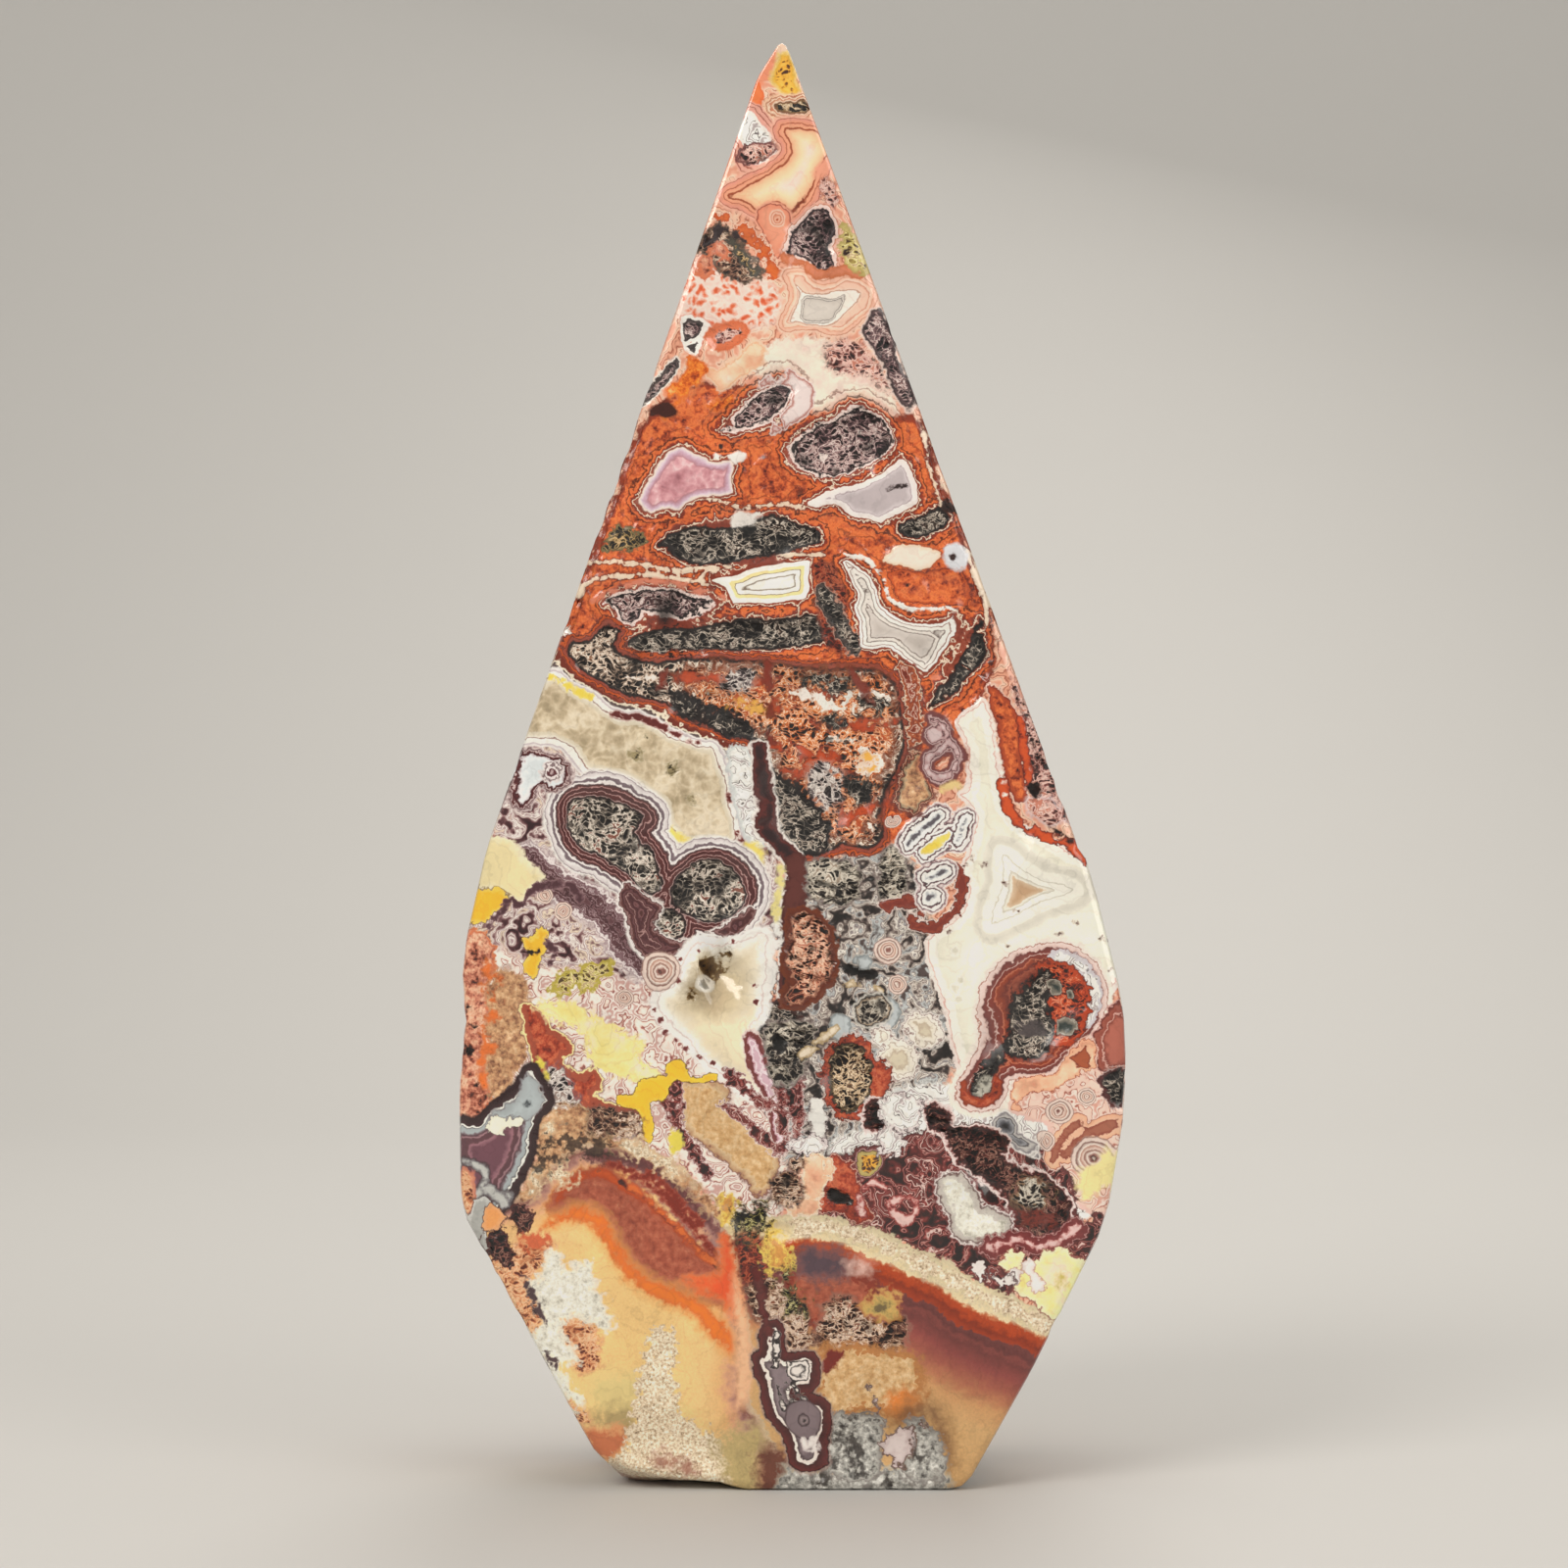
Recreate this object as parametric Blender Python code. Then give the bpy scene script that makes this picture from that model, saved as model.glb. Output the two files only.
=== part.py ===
# Agate flame tower: one natural stone, sawn and polished to a flame shape.
# It has a flat front face, a small rounded edge all round that face, sides that draw in
# towards a softly domed back, and a flat cut base. Porous lumps in the agate lie a little
# below the polish as shallow hollows.
# Metres, +Z up. The front face looks along -Y, and the origin is at the middle of the
# bottom of the stone's box.

import math

import bmesh
import bpy
from mathutils import Vector, noise
from mathutils.geometry import delaunay_2d_cdt

MM = 0.001

# Driving sizes
DEPTH = 40.0 * MM                # front face to the back's highest point, at the belly
BASE_DEPTH = 32.0 * MM
TIP_DEPTH = 3.0 * MM
BELLY_HEIGHT = 62.0 * MM         # the stone is thickest here
TIP_HEIGHT = 170.1 * MM
SIDE_TAPER = 0.16                # share of the half width that the sides lose towards the back
BACK_CROWN = 0.09                # share of the depth that the back loses at its edges
FRONT_EDGE = 0.9 * MM            # rounding between the front face and the sides
BACK_EDGE = 1.7 * MM
TIP_EDGE_SHARE = 0.18            # the roundings shrink to this share at the tip
TIP_EDGE_REACH = 40.0 * MM
SIDE_WOBBLE = 0.35 * MM          # hand polishing leaves the sides and back a little uneven
WOBBLE_WAVE = 24.0 * MM
WOBBLE_FREE_HEIGHT = 6.0 * MM    # the wobble fades out above the base

# Mesh fineness
SIDE_STEP = 3.4 * MM
TIP_STEP = 0.7 * MM
STEP_GROWTH = 0.10               # how fast the step grows with distance from the tip
FINE_STEP = 2.1 * MM             # inside the hollows
SIDE_RINGS = 9
SHARP_TURN = 0.5                 # radians; a corner that turns more gets two steps or more

# Front outline, going down the left side and up the right: x, z and corner radius in mm
OUTLINE = [
    (-1.2, 170.6, 0.55),
    (-4.1, 166.0, 4.0),
    (-6.6, 158.9, 30.0),
    (-36.0, 75.4, 22.0),
    (-38.9, 62.5, 14.0),
    (-38.5, 55.0, 25.0),
    (-39.2, 47.0, 25.0),
    (-39.0, 33.0, 6.0),
    (-20.8, 0.0, 3.4),
    (20.2, 0.0, 3.2),
    (28.1, 14.0, 40.0),
    (36.9, 31.6, 14.0),
    (39.4, 46.4, 12.0),
    (38.9, 57.5, 20.0),
    (34.8, 73.8, 3.0),
    (33.7, 75.4, 1.0),
    (5.9, 152.0, 60.0),
    (-0.2, 168.4, 6.0),
]

# Chip along the front of the base: how far it lifts the bottom edge, by x, in mm
CHIP_HEIGHTS = [(-24.0, 0.0), (-20.6, 2.6), (-16.2, 1.5), (-12.5, 1.1), (-7.6, 0.7), (-6.2, 0.0)]
CHIP_DEPTH = 7.0 * MM
CHIP_TOP = 6.0 * MM

# Hollows in the front face: name, x, z, half length, half width in mm, turn in degrees, depth in mm
FRONT_HOLLOWS = [
    ("slot under the tip", -5.9, 146.4, 3.6, 1.5, -44, 1.2),
    ("lump right of the slot", 2.0, 147.7, 2.8, 2.5, 20, 0.8),
    ("small dark triangle", -11.3, 135.9, 1.9, 1.6, 0, 0.8),
    ("upper lava piece", -4.2, 127.8, 5.0, 2.1, 35, 1.0),
    ("round lava piece", 5.6, 123.0, 6.2, 3.7, 10, 1.2),
    ("long lava piece", -6.4, 111.7, 9.5, 2.5, 2, 1.0),
    ("left lava piece", -15.7, 104.0, 7.2, 2.4, 0, 1.0),
    ("dark band over the big lump", -7.3, 100.5, 11.5, 2.1, 3, 1.2),
    ("dark slanting strip", 19.5, 98.6, 6.5, 2.1, 63, 0.9),
    ("big lump, left end", -13.8, 94.6, 13.0, 3.6, -28, 1.3),
    ("big lump, middle", 4.8, 89.9, 9.5, 5.6, -30, 1.0),
    ("big lump, foot", 2.2, 80.7, 5.6, 4.6, 0, 1.2),
    ("big lump, right shoulder", 11.4, 83.4, 3.4, 4.2, 0, 0.8),
    ("ringed lump, upper", -21.3, 77.6, 5.8, 4.2, -40, 1.0),
    ("ringed lump, lower", -8.5, 70.6, 4.2, 3.5, 0, 1.0),
    ("quartz pocket", -9.0, 61.5, 2.4, 2.0, 0, 1.9),
    ("red lump in the white field", 27.8, 55.4, 7.4, 4.6, 55, 1.5),
    ("maroon lump, lower right", 26.0, 36.5, 7.4, 4.5, -45, 1.2),
    ("centre pit, upper", 8.2, 57.7, 2.8, 2.4, 0, 0.9),
    ("centre pit, lower", 5.9, 49.1, 3.4, 2.8, 60, 1.1),
    ("grey pocket, lower right", 21.2, 33.4, 3.2, 2.4, -30, 0.7),
    ("porous strip at the right edge", 28.6, 87.2, 7.0, 1.7, -70, 0.9),
    ("crack at the right edge", 30.4, 76.9, 2.8, 1.3, -25, 1.2),
    ("porous strip at the left edge", -36.0, 54.0, 8.0, 2.0, 88, 0.8),
    ("node over the seam", -3.3, 29.9, 2.4, 2.2, 0, 0.9),
    ("grainy foot, left", -11.8, 5.4, 8.2, 3.2, -8, 0.8),
    ("grainy foot, right", 10.5, 5.2, 7.4, 3.8, 0, 0.8),
]

# Hollows in the sides and back: x, y, z, radius and depth in mm
ROUND_HOLLOWS = [
    (-20.0, 14.0, 96.0, 9.0, 1.3),
    (12.0, 12.0, 101.0, 10.0, 1.4),
    (-3.0, 6.0, 124.0, 6.5, 1.1),
    (3.0, -4.0, 146.0, 5.0, 0.9),
    (-26.0, 18.0, 66.0, 8.0, 1.2),
    (24.0, 19.0, 58.0, 10.0, 1.5),
    (2.0, 20.0, 74.0, 9.0, 1.2),
    (-10.0, 19.0, 40.0, 7.0, 1.0),
    (18.0, 17.0, 30.0, 8.0, 1.1),
    (-24.0, -4.0, 106.0, 6.5, 1.1),
    (27.0, -3.0, 92.0, 7.0, 1.2),
    (-38.0, 2.0, 52.0, 7.0, 1.1),
    (38.0, 0.0, 40.0, 7.5, 1.2),
    (-30.0, 0.0, 20.0, 6.5, 0.9),
    (17.0, -8.0, 121.0, 5.5, 1.0),
]

STONE_COLOUR = (0.46, 0.24, 0.17, 1.0)
STONE_ROUGHNESS = 0.22


def clamp(value, low, high):
    return max(low, min(high, value))


def ease(value):
    value = clamp(value, 0.0, 1.0)
    return value * value * (3.0 - 2.0 * value)


def between(table, place):
    """Value at a place in a table of (place, value) pairs, with straight steps between them."""
    for (low, low_value), (high, high_value) in zip(table, table[1:]):
        if low <= place <= high:
            return low_value + (high_value - low_value) * (place - low) / (high - low)
    return 0.0


def depth_at(z):
    """Depth of the stone on its middle line at a height."""
    if z >= BELLY_HEIGHT:
        share = clamp((TIP_HEIGHT - z) / (TIP_HEIGHT - BELLY_HEIGHT), 0.0, 1.0)
        return TIP_DEPTH + (DEPTH - TIP_DEPTH) * math.sin(share * math.pi / 2)
    share = 1.0 - z / BELLY_HEIGHT
    return DEPTH - (DEPTH - BASE_DEPTH) * share ** 1.5


def edge_share(z):
    """Share of the full edge rounding at a height: small at the thin tip."""
    reach = clamp((TIP_HEIGHT - z) / TIP_EDGE_REACH, 0.0, 1.0)
    return TIP_EDGE_SHARE + (1.0 - TIP_EDGE_SHARE) * reach


def step_at(z):
    return clamp(TIP_STEP + STEP_GROWTH * (TIP_HEIGHT - z), TIP_STEP, SIDE_STEP)


def straight_run(start, end):
    """Points from start up to, not including, end, with steps that suit the height."""
    length = (end - start).length
    places = [0.0]
    while places[-1] < length:
        here = start.lerp(end, places[-1] / length)
        places.append(places[-1] + step_at(here.y))
    if len(places) > 2 and length - places[-2] < places[-1] - length:
        places.pop()
    stretch = length / places[-1]
    return [start.lerp(end, place * stretch / length) for place in places[:-1]]


def corner_arc(before, corner, after, radius):
    """Start of the round of one corner, its points up to the end, and its end."""
    to_before = (before - corner).normalized()
    to_after = (after - corner).normalized()
    half_angle = to_before.angle(to_after) / 2
    room = 0.45 * min((before - corner).length, (after - corner).length)
    setback = min(radius / math.tan(half_angle), room)
    radius = setback * math.tan(half_angle)
    start = corner + to_before * setback
    end = corner + to_after * setback
    centre = corner + (to_before + to_after).normalized() * (radius / math.sin(half_angle))
    turn = math.pi - 2 * half_angle
    step = min(step_at(corner.y), 1.2 * radius)
    pieces = round(turn * radius / step)
    if turn > SHARP_TURN:
        pieces = max(2, pieces)
    first = start - centre
    last = end - centre
    turned = math.atan2(first.x * last.y - first.y * last.x, first.dot(last))
    arc = []
    for index in range(pieces):
        angle = turned * index / pieces
        cosine = math.cos(angle)
        sine = math.sin(angle)
        arc.append(centre + Vector((first.x * cosine - first.y * sine, first.x * sine + first.y * cosine)))
    return start, arc, end


def front_outline():
    """The closed outline of the stone seen from the front, as (x, z) points."""
    corners = [Vector((x * MM, z * MM)) for x, z, _ in OUTLINE]
    radii = [radius * MM for _, _, radius in OUTLINE]
    count = len(corners)
    arcs = []
    for index, corner in enumerate(corners):
        arcs.append(corner_arc(corners[index - 1], corner, corners[(index + 1) % count], radii[index]))
    points = []
    for index, (_, arc, end) in enumerate(arcs):
        next_start = arcs[(index + 1) % count][0]
        points += arc
        points += straight_run(end, next_start)
    return points


def outward_normals(points):
    """Outward direction at each point of a closed outline that runs anticlockwise."""
    normals = []
    count = len(points)
    for index in range(count):
        along = (points[(index + 1) % count] - points[index - 1]).normalized()
        normals.append(Vector((along.y, -along.x)))
    return normals


def chip_lift(x, z, behind_front):
    """How far the chip at the front of the base lifts a point on the lower left."""
    lift = between(CHIP_HEIGHTS, x / MM) * MM
    return lift * (1.0 - ease(behind_front / CHIP_DEPTH)) * (1.0 - ease(z / CHIP_TOP))


def front_hollow_depth(x, z):
    """Depth of the deepest hollow of the front face at a place."""
    deepest = 0.0
    for _, hollow_x, hollow_z, half_length, half_width, turn, depth in FRONT_HOLLOWS:
        along_x = x / MM - hollow_x
        along_z = z / MM - hollow_z
        cosine = math.cos(math.radians(turn))
        sine = math.sin(math.radians(turn))
        length_part = (along_x * cosine + along_z * sine) / half_length
        width_part = (along_z * cosine - along_x * sine) / half_width
        distance = math.hypot(length_part, width_part)
        deepest = max(deepest, depth * MM * ease((1.12 - distance) / 0.55))
    return deepest


def in_front_hollow(x, z):
    return front_hollow_depth(x, z) > 0.0


def round_hollow_depth(point):
    """Depth of the deepest hollow of the sides and back at a place."""
    deepest = 0.0
    for x, y, z, radius, depth in ROUND_HOLLOWS:
        distance = (point - Vector((x, y, z)) * MM).length / (radius * MM)
        deepest = max(deepest, depth * MM * ease((1.0 - distance) / 0.6))
    return deepest


def side_profile():
    """Rings from the front edge to the back edge: kind of ring and its place in that stretch."""
    front = [("front", share) for share in (0.0, 0.5, 1.0)]
    sides = [("side", index / (SIDE_RINGS + 1)) for index in range(1, SIDE_RINGS + 1)]
    back = [("back", share) for share in (0.0, 0.5, 1.0)]
    return front + sides + back


def ring_point(point, normal, kind, share):
    """One point of a ring that runs round the stone."""
    x, z = point
    depth = depth_at(z) * (1.0 - BACK_CROWN)
    front_round = FRONT_EDGE * edge_share(z)
    back_round = BACK_EDGE * edge_share(z)
    if kind == "front":
        behind = front_round * (1.0 - math.cos(share * math.pi / 2))
        inset = front_round * (1.0 - math.sin(share * math.pi / 2))
    elif kind == "side":
        behind = front_round + (depth - front_round - back_round) * share
        inset = 0.0
    else:
        behind = depth - back_round * (1.0 - math.sin(share * math.pi / 2))
        inset = back_round * (1.0 - math.cos(share * math.pi / 2))
    drawn_in = 1.0 - SIDE_TAPER * (behind / depth) ** 2
    place = Vector(((x - normal.x * inset) * drawn_in, -DEPTH / 2 + behind, z - normal.y * inset))
    place.z += chip_lift(place.x, place.z, behind)
    if kind == "side":
        outward = Vector((normal.x, 0.0, normal.y))
        fade = ease(place.z / WOBBLE_FREE_HEIGHT) * min(1.0, 3.0 * share) * edge_share(z)
        wobble = noise.noise(place / WOBBLE_WAVE) * SIDE_WOBBLE
        place += outward * (wobble - round_hollow_depth(place)) * fade
    return place


def spread_points(loop, fine_place):
    """Points inside a closed loop on a triangular grid, finer where fine_place says so."""
    low_x = min(point.x for point in loop)
    high_x = max(point.x for point in loop)
    low_z = min(point.y for point in loop)
    high_z = max(point.y for point in loop)
    points = []
    for step, wants_fine in ((SIDE_STEP, False), (FINE_STEP, True)):
        rows = int((high_z - low_z) / (step * math.sqrt(0.75))) + 1
        columns = int((high_x - low_x) / step) + 2
        for row in range(1, rows):
            for column in range(columns):
                point = Vector((low_x + (column + 0.5 * (row % 2)) * step,
                                low_z + row * step * math.sqrt(0.75)))
                if fine_place(point.x, point.y) == wants_fine and inside_loop(point, loop, 0.62):
                    points.append(point)
    return points


def inside_loop(point, loop, clearance):
    """True for a point inside the loop and at least clearance steps away from it."""
    inside = False
    nearest = 1.0
    previous = loop[-1]
    for current in loop:
        if (current.y > point.y) != (previous.y > point.y):
            crossing = current.x + (point.y - current.y) * (previous.x - current.x) / (previous.y - current.y)
            if point.x < crossing:
                inside = not inside
        nearest = min(nearest, (current - point).length, ((current + previous) / 2 - point).length)
        previous = current
    return inside and nearest > clearance * step_at(point.y)


def cap_triangles(loop, fine_place):
    """Well-shaped triangles inside a loop. The loop's own points come first."""
    points = list(loop) + spread_points(loop, fine_place)
    result = delaunay_2d_cdt(points, [], [list(range(len(loop)))], 1, 1e-7)
    return points, [list(face) for face in result[2]], result[3]


def add_cap(mesh, ring, facing_front):
    """Closes the front or back ring with a cap of triangles."""
    loop = [Vector((vertex.co.x, vertex.co.z)) for vertex in ring]
    fine_place = in_front_hollow if facing_front else lambda x, z: False
    points, triangles, origins = cap_triangles(loop, fine_place)
    vertices = list(ring)
    for point in points[len(loop):]:
        if facing_front:
            y = -DEPTH / 2 + front_hollow_depth(point.x, point.y)
        else:
            y = back_y(point.x, point.y, loop)
        vertices.append(mesh.verts.new((point.x, y, point.y)))
    for triangle in triangles:
        corners = [vertices[origins[index][0]] for index in triangle]
        mesh.faces.new(corners if facing_front else corners[::-1])


def back_y(x, z, loop):
    """The domed back: full depth on the middle line, less towards the edges."""
    half_width = max(abs(point.x) for point in loop if abs(point.y - z) < 2 * SIDE_STEP)
    out = clamp(abs(x) / half_width, 0.0, 1.0)
    place = Vector((x, -DEPTH / 2 + depth_at(z) * (1.0 - BACK_CROWN * out * out), z))
    fade = ease(z / WOBBLE_FREE_HEIGHT) * edge_share(z) * ease((1.0 - out) * 4.0)
    wobble = (noise.noise(place / WOBBLE_WAVE) - 1.0) * SIDE_WOBBLE
    return place.y + (wobble - round_hollow_depth(place)) * fade


def stone_mesh():
    """The whole stone as one closed mesh."""
    outline = front_outline()
    normals = outward_normals(outline)
    mesh = bmesh.new()
    rings = []
    for kind, share in side_profile():
        ring = []
        for point, normal in zip(outline, normals):
            ring.append(mesh.verts.new(ring_point(point, normal, kind, share)))
        rings.append(ring)
    count = len(outline)
    for ring, next_ring in zip(rings, rings[1:]):
        for index in range(count):
            after = (index + 1) % count
            mesh.faces.new((ring[index], next_ring[index], next_ring[after], ring[after]))
    add_cap(mesh, rings[0], True)
    add_cap(mesh, rings[-1], False)
    bmesh.ops.triangulate(mesh, faces=mesh.faces[:], quad_method="SHORT_EDGE")
    bmesh.ops.recalc_face_normals(mesh, faces=mesh.faces[:])
    data = bpy.data.meshes.new("agate_flame")
    mesh.to_mesh(data)
    mesh.free()
    return data


def stone_material():
    material = bpy.data.materials.new("polished_agate")
    material.use_nodes = True
    shader = material.node_tree.nodes["Principled BSDF"]
    shader.inputs["Base Color"].default_value = STONE_COLOUR
    shader.inputs["Roughness"].default_value = STONE_ROUGHNESS
    shader.inputs["Metallic"].default_value = 0.0
    return material


def main():
    for thing in list(bpy.data.objects):
        bpy.data.objects.remove(thing, do_unlink=True)
    data = stone_mesh()
    data.materials.append(stone_material())
    data.shade_smooth()
    data.set_sharp_from_angle(angle=math.radians(40))
    stone = bpy.data.objects.new("agate_flame", data)
    bpy.context.scene.collection.objects.link(stone)


main()
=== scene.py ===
import math
import bmesh
import bpy
import numpy as np
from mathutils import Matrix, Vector, noise


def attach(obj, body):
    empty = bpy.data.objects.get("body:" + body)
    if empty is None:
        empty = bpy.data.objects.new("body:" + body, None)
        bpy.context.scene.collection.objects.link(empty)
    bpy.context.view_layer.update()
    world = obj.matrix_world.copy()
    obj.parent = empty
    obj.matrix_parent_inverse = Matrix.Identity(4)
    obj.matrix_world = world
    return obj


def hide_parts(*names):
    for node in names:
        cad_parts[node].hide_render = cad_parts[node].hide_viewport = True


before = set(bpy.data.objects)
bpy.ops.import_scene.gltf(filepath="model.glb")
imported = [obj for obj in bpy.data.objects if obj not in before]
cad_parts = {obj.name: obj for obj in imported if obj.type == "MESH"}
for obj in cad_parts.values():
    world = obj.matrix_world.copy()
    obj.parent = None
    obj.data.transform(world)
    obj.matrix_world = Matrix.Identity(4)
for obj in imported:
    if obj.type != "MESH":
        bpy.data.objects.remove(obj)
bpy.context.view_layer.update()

# the polished stone: values to change
stone = {
    "pixelSize": 0.115,       # millimetres in the stone for one pixel of the drawing
    "middleColumn": 808.5,    # drawing column of the stone's middle
    "baseRow": 1522.0,        # drawing row of the base
    "frontPlane": -0.020,     # metres, the polished face
    "frontDepth": 0.0004,     # metres behind it that still count as the front
    "fullDepth": 0.040,       # metres, front to back
    "frontEdge": 0.82,        # longest mesh edge on the polished face, mm
    "restEdge": 2.20,         # the same on sides and back
    "halvings": 8,            # most times that an edge is halved
    "depthClosing": 1.6,      # the drawing closes in with depth by this share; past 1 it turns over
    "depthRise": 0.2,         # and it rises by this share of the depth
    "depthDrift": (0.014, 0.018),        # metres, across and up, that it wanders by at full depth
    "depthDriftWave": (0.030, 0.026),    # metres, the length of those waves
    "drawingWarp": 0.28,      # mm, slow wander of every drawn edge
    "warpWave": 0.0036,       # metres, its length
    "fineWarpWave": 0.0016,   # metres, a finer wander on top
    "fineWarp": 0.6,          # share of the slow one
    "poreDepth": 0.60,        # mm, how deep the open pores are cut
    "poreCells": 0.5,         # pores for each mm
    "poreCellsVary": 0.25,
    "poreRadius": 0.55,       # in cells, with a soft wall as wide as the next value
    "poreWall": 0.35,
    "reliefDepth": 0.45,      # mm, how deep the unpolished rust, sand and druse are cut
    "reliefScale": 0.42,      # waves for each mm
    "reach": 34.0,            # pixels, how far round a shape its distance is worked out
    "farAway": 90.0,          # pixels, the distance given to everything past that
    "drawingLeft": 463.0,     # where the stone starts in the drawing
    "drawingTop": 40.0,
    "regionHeight": 110.0,    # pixels; every region of the drawing gets a material with its own layers only
    "regionWidth": 230.0,
    "regionRows": 14,
    "regionColumns": 3,
    "regionWeight": 186,      # a heavier region is halved, because past about 200 its material turns black
    "layerWeight": 4,
    "paintWeight": 3,
    "coverMargin": 0.7,       # share of a layer's wobble by which it may reach into a region
}

layers = []      # bottom first; each has its shapes in drawing pixels and its colours by distance in mm


def layer(name, shapes, stops, **extra):
    # stops: distance in mm, colour and cover, going outwards over the edge. Inside paintEdge the paint
    # takes over; porous gives cut pores darkened with painted shade, grain and rugged give mineral grain
    # and relief; wobble roughens the edge
    item = {"name": name, "shapes": shapes, "stops": stops, "paint": None, "paintEdge": -0.1,
            "porous": 0.0, "grain": 0.0, "rugged": 0.0, "wobble": 1.0, "ringed": False}
    item.update(extra)
    layers.append(item)


# grounds
layer("creamField", [
    "area 770,360 800,345 845,345 870,360 900,375 912,398 915,430 880,412 870,412 850,418 832,430 828,400 "
    "810,378 790,380 778,384 765,392",
    "area 690,412 720,405 745,395 760,398 745,420 700,430 680,425"],
    "-1.2 F5ECDE | -0.2 EFDDCF | 0.3 EFDDCF 0", paint="creamCloud", wobble=2.0)
layer("pinkPorous", [
    "area 840,350 862,345 880,352 900,372 915,400 900,400 880,385 860,385 842,372"],
    "-0.8 D9A99F | 0.4 D9A99F 0", paint="rosePores", porous=0.5, wobble=2.0)
layer("rustField", [
    "area 655,440 690,400 735,392 775,398 800,395 835,430 870,415 905,425 935,430 960,500 985,560 1010,640 "
    "1005,700 965,770 940,800 930,860 900,870 860,872 815,880 785,855 775,780 745,765 700,735 650,715 "
    "600,690 572,655 595,590 625,520"],
    "-0.6 B8502A | 0.1 8A3B25 | 0.4 8A3B25 0", paint="rust", paintEdge=-0.3, grain=0.35, rugged=1.0,
    wobble=1.5)
layer("mauveField", [
    "area 515,800 530,760 560,750 600,790 680,830 700,860 780,860 800,900 795,960 770,985 700,985 690,1030 "
    "640,1030 560,1000 500,1010 478,960 490,900"],
    "-0.6 CDBDB8 | 0.3 CDBDB8 0", paint="mauveLace", wobble=2.0)
layer("roseField", [
    "area 470,960 560,985 690,1010 720,1050 760,1080 790,1110 805,1160 800,1240 745,1245 690,1190 600,1160 "
    "540,1140 470,1160 460,1050"],
    "-0.6 E3C8C0 | 0.4 E3C8C0 0", paint="roseLace", wobble=2.0)
layer("chaosField", [
    "area 800,885 870,868 925,866 952,930 950,960 988,1000 988,1060 962,1120 905,1180 830,1195 788,1175 "
    "775,1060 790,1030 800,960"],
    "-0.6 A89E98 | 0.3 A89E98 0", paint="greyLace", porous=0.45, grain=0.2, rugged=0.5, wobble=2.5)
layer("whiteChannel", [
    "area 1003,712 990,722 977,735 977,745 984,760 987,780 987,800 977,812 987,822 995,835 992,850 987,870 "
    "980,885 977,895 987,910 982,925 970,940 948,955 944,975 955,1010 965,1040 977,1100 960,1130 1000,1145 "
    "1060,1120 1110,1080 1135,1010 1150,960 1135,905 1114,880 1105,875 1090,868 1075,858 1058,850 1042,840 "
    "1030,825 1022,800 1020,780 1018,760 1015,740 1012,728"],
    "-4.2 F6F3E4 | -2.3 F3EFDF | -1.5 EBE8D8 | -1.3 F5F1E6 | -0.5 F3EEE4 | -0.42 D9A9A0 | -0.3 F0E2DA | "
    "0.05 EDE0DA | 0.12 EDE0DA 0", wobble=0.8)
layer("whiteLaceField", [
    "area 895,1118 960,1106 1010,1128 1060,1118 1075,1150 1105,1200 1132,1215 1125,1235 1092,1245 1060,1200 "
    "1010,1200 960,1185 900,1172 845,1182 850,1160 890,1150"],
    "-0.4 EDEBE6 | 0.3 EDEBE6 0", paint="whiteLace", wobble=2.5)
layer("pinkLaceField", [
    "area 1022,1104 1060,1086 1110,1058 1148,1040 1150,1180 1138,1232 1104,1232 1085,1205 1055,1192 "
    "1072,1152 1034,1132"],
    "-0.3 F0CDBE | 0.3 E8C4BC | 0.5 E8C4BC 0", paint="pinkLace", wobble=1.5)
layer("maroonField", [
    "area 835,1190 870,1178 940,1158 1010,1150 1090,1200 1098,1255 1125,1240 1110,1300 1080,1310 1020,1275 "
    "1030,1325 980,1297 900,1258 830,1240"],
    "-0.3 8A4644 | 0.2 5A3030 | 0.4 5A3030 0", paint="maroonSwirl", wobble=2.0)

# the two domes at the foot
layer("rightDome", [
    "area 560,1246 700,1244 800,1240 840,1240 880,1249 914,1266 947,1281 976,1293 1003,1311 1034,1325 "
    "1063,1337 1090,1352 1180,1420 1180,1700 400,1700 400,1300"],
    "-20 D0AA78 | -16 D4AE7C | -13.4 CFA070 | -12.2 C08460 | -10.6 AA6452 | -9 98504A | -7.2 7A403C | "
    "-6.6 8A4A44 | -6.2 6E3A38 | -5.6 7A4440 | -5.4 A8431A | -4.6 8E3510 | -4.0 B54A14 | -3.4 B84E1C | "
    "-3.1 D08A60 | -2.9 E8D8B4 | -1.4 DCC9A0 | -0.9 CDBB98 | -0.5 E6D8B4 | 0 D8C8A8 | 0.2 D8C8A8 0",
    grain=0.45, wobble=1.6)
layer("domeCrust", [
    "line 8 806,1251 840,1252 880,1261 914,1278 947,1293 976,1305 1003,1323 1034,1337 1063,1349 1088,1364"],
    "-0.5 D8CDB0 | 0.5 D8CDB0 0", paint="sand", grain=0.6, rugged=0.5, wobble=3.0)
layer("domeRust", [
    "area 812,1300 840,1302 880,1306 884,1334 850,1352 822,1345 806,1320"],
    "-1.2 A0452A | 0.8 8A3A28 | 1.8 8A3A28 0", paint="brickGrain", grain=0.5, wobble=3.0)
layer("domePurple", ["area 818,1282 840,1279 864,1286 870,1296 850,1302 826,1302 815,1294"],
    "-1.0 5E4852 | 0 7A5A5E 0.8 | 1.4 8A6A66 0", wobble=3.0)
layer("domeBlush", ["spot 878,1292 7"], "-0.8 EBC4B8 0.9 | 1.2 E8B8A4 0", wobble=3.0)
layer("domePorous", [
    "area 840,1336 856,1326 880,1334 900,1345 920,1345 922,1382 890,1382 870,1388 845,1384 832,1372"],
    "-0.6 A08070 | 0.6 A08070 0", paint="brownPores", porous=0.7, grain=0.5, wobble=3.0)
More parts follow.
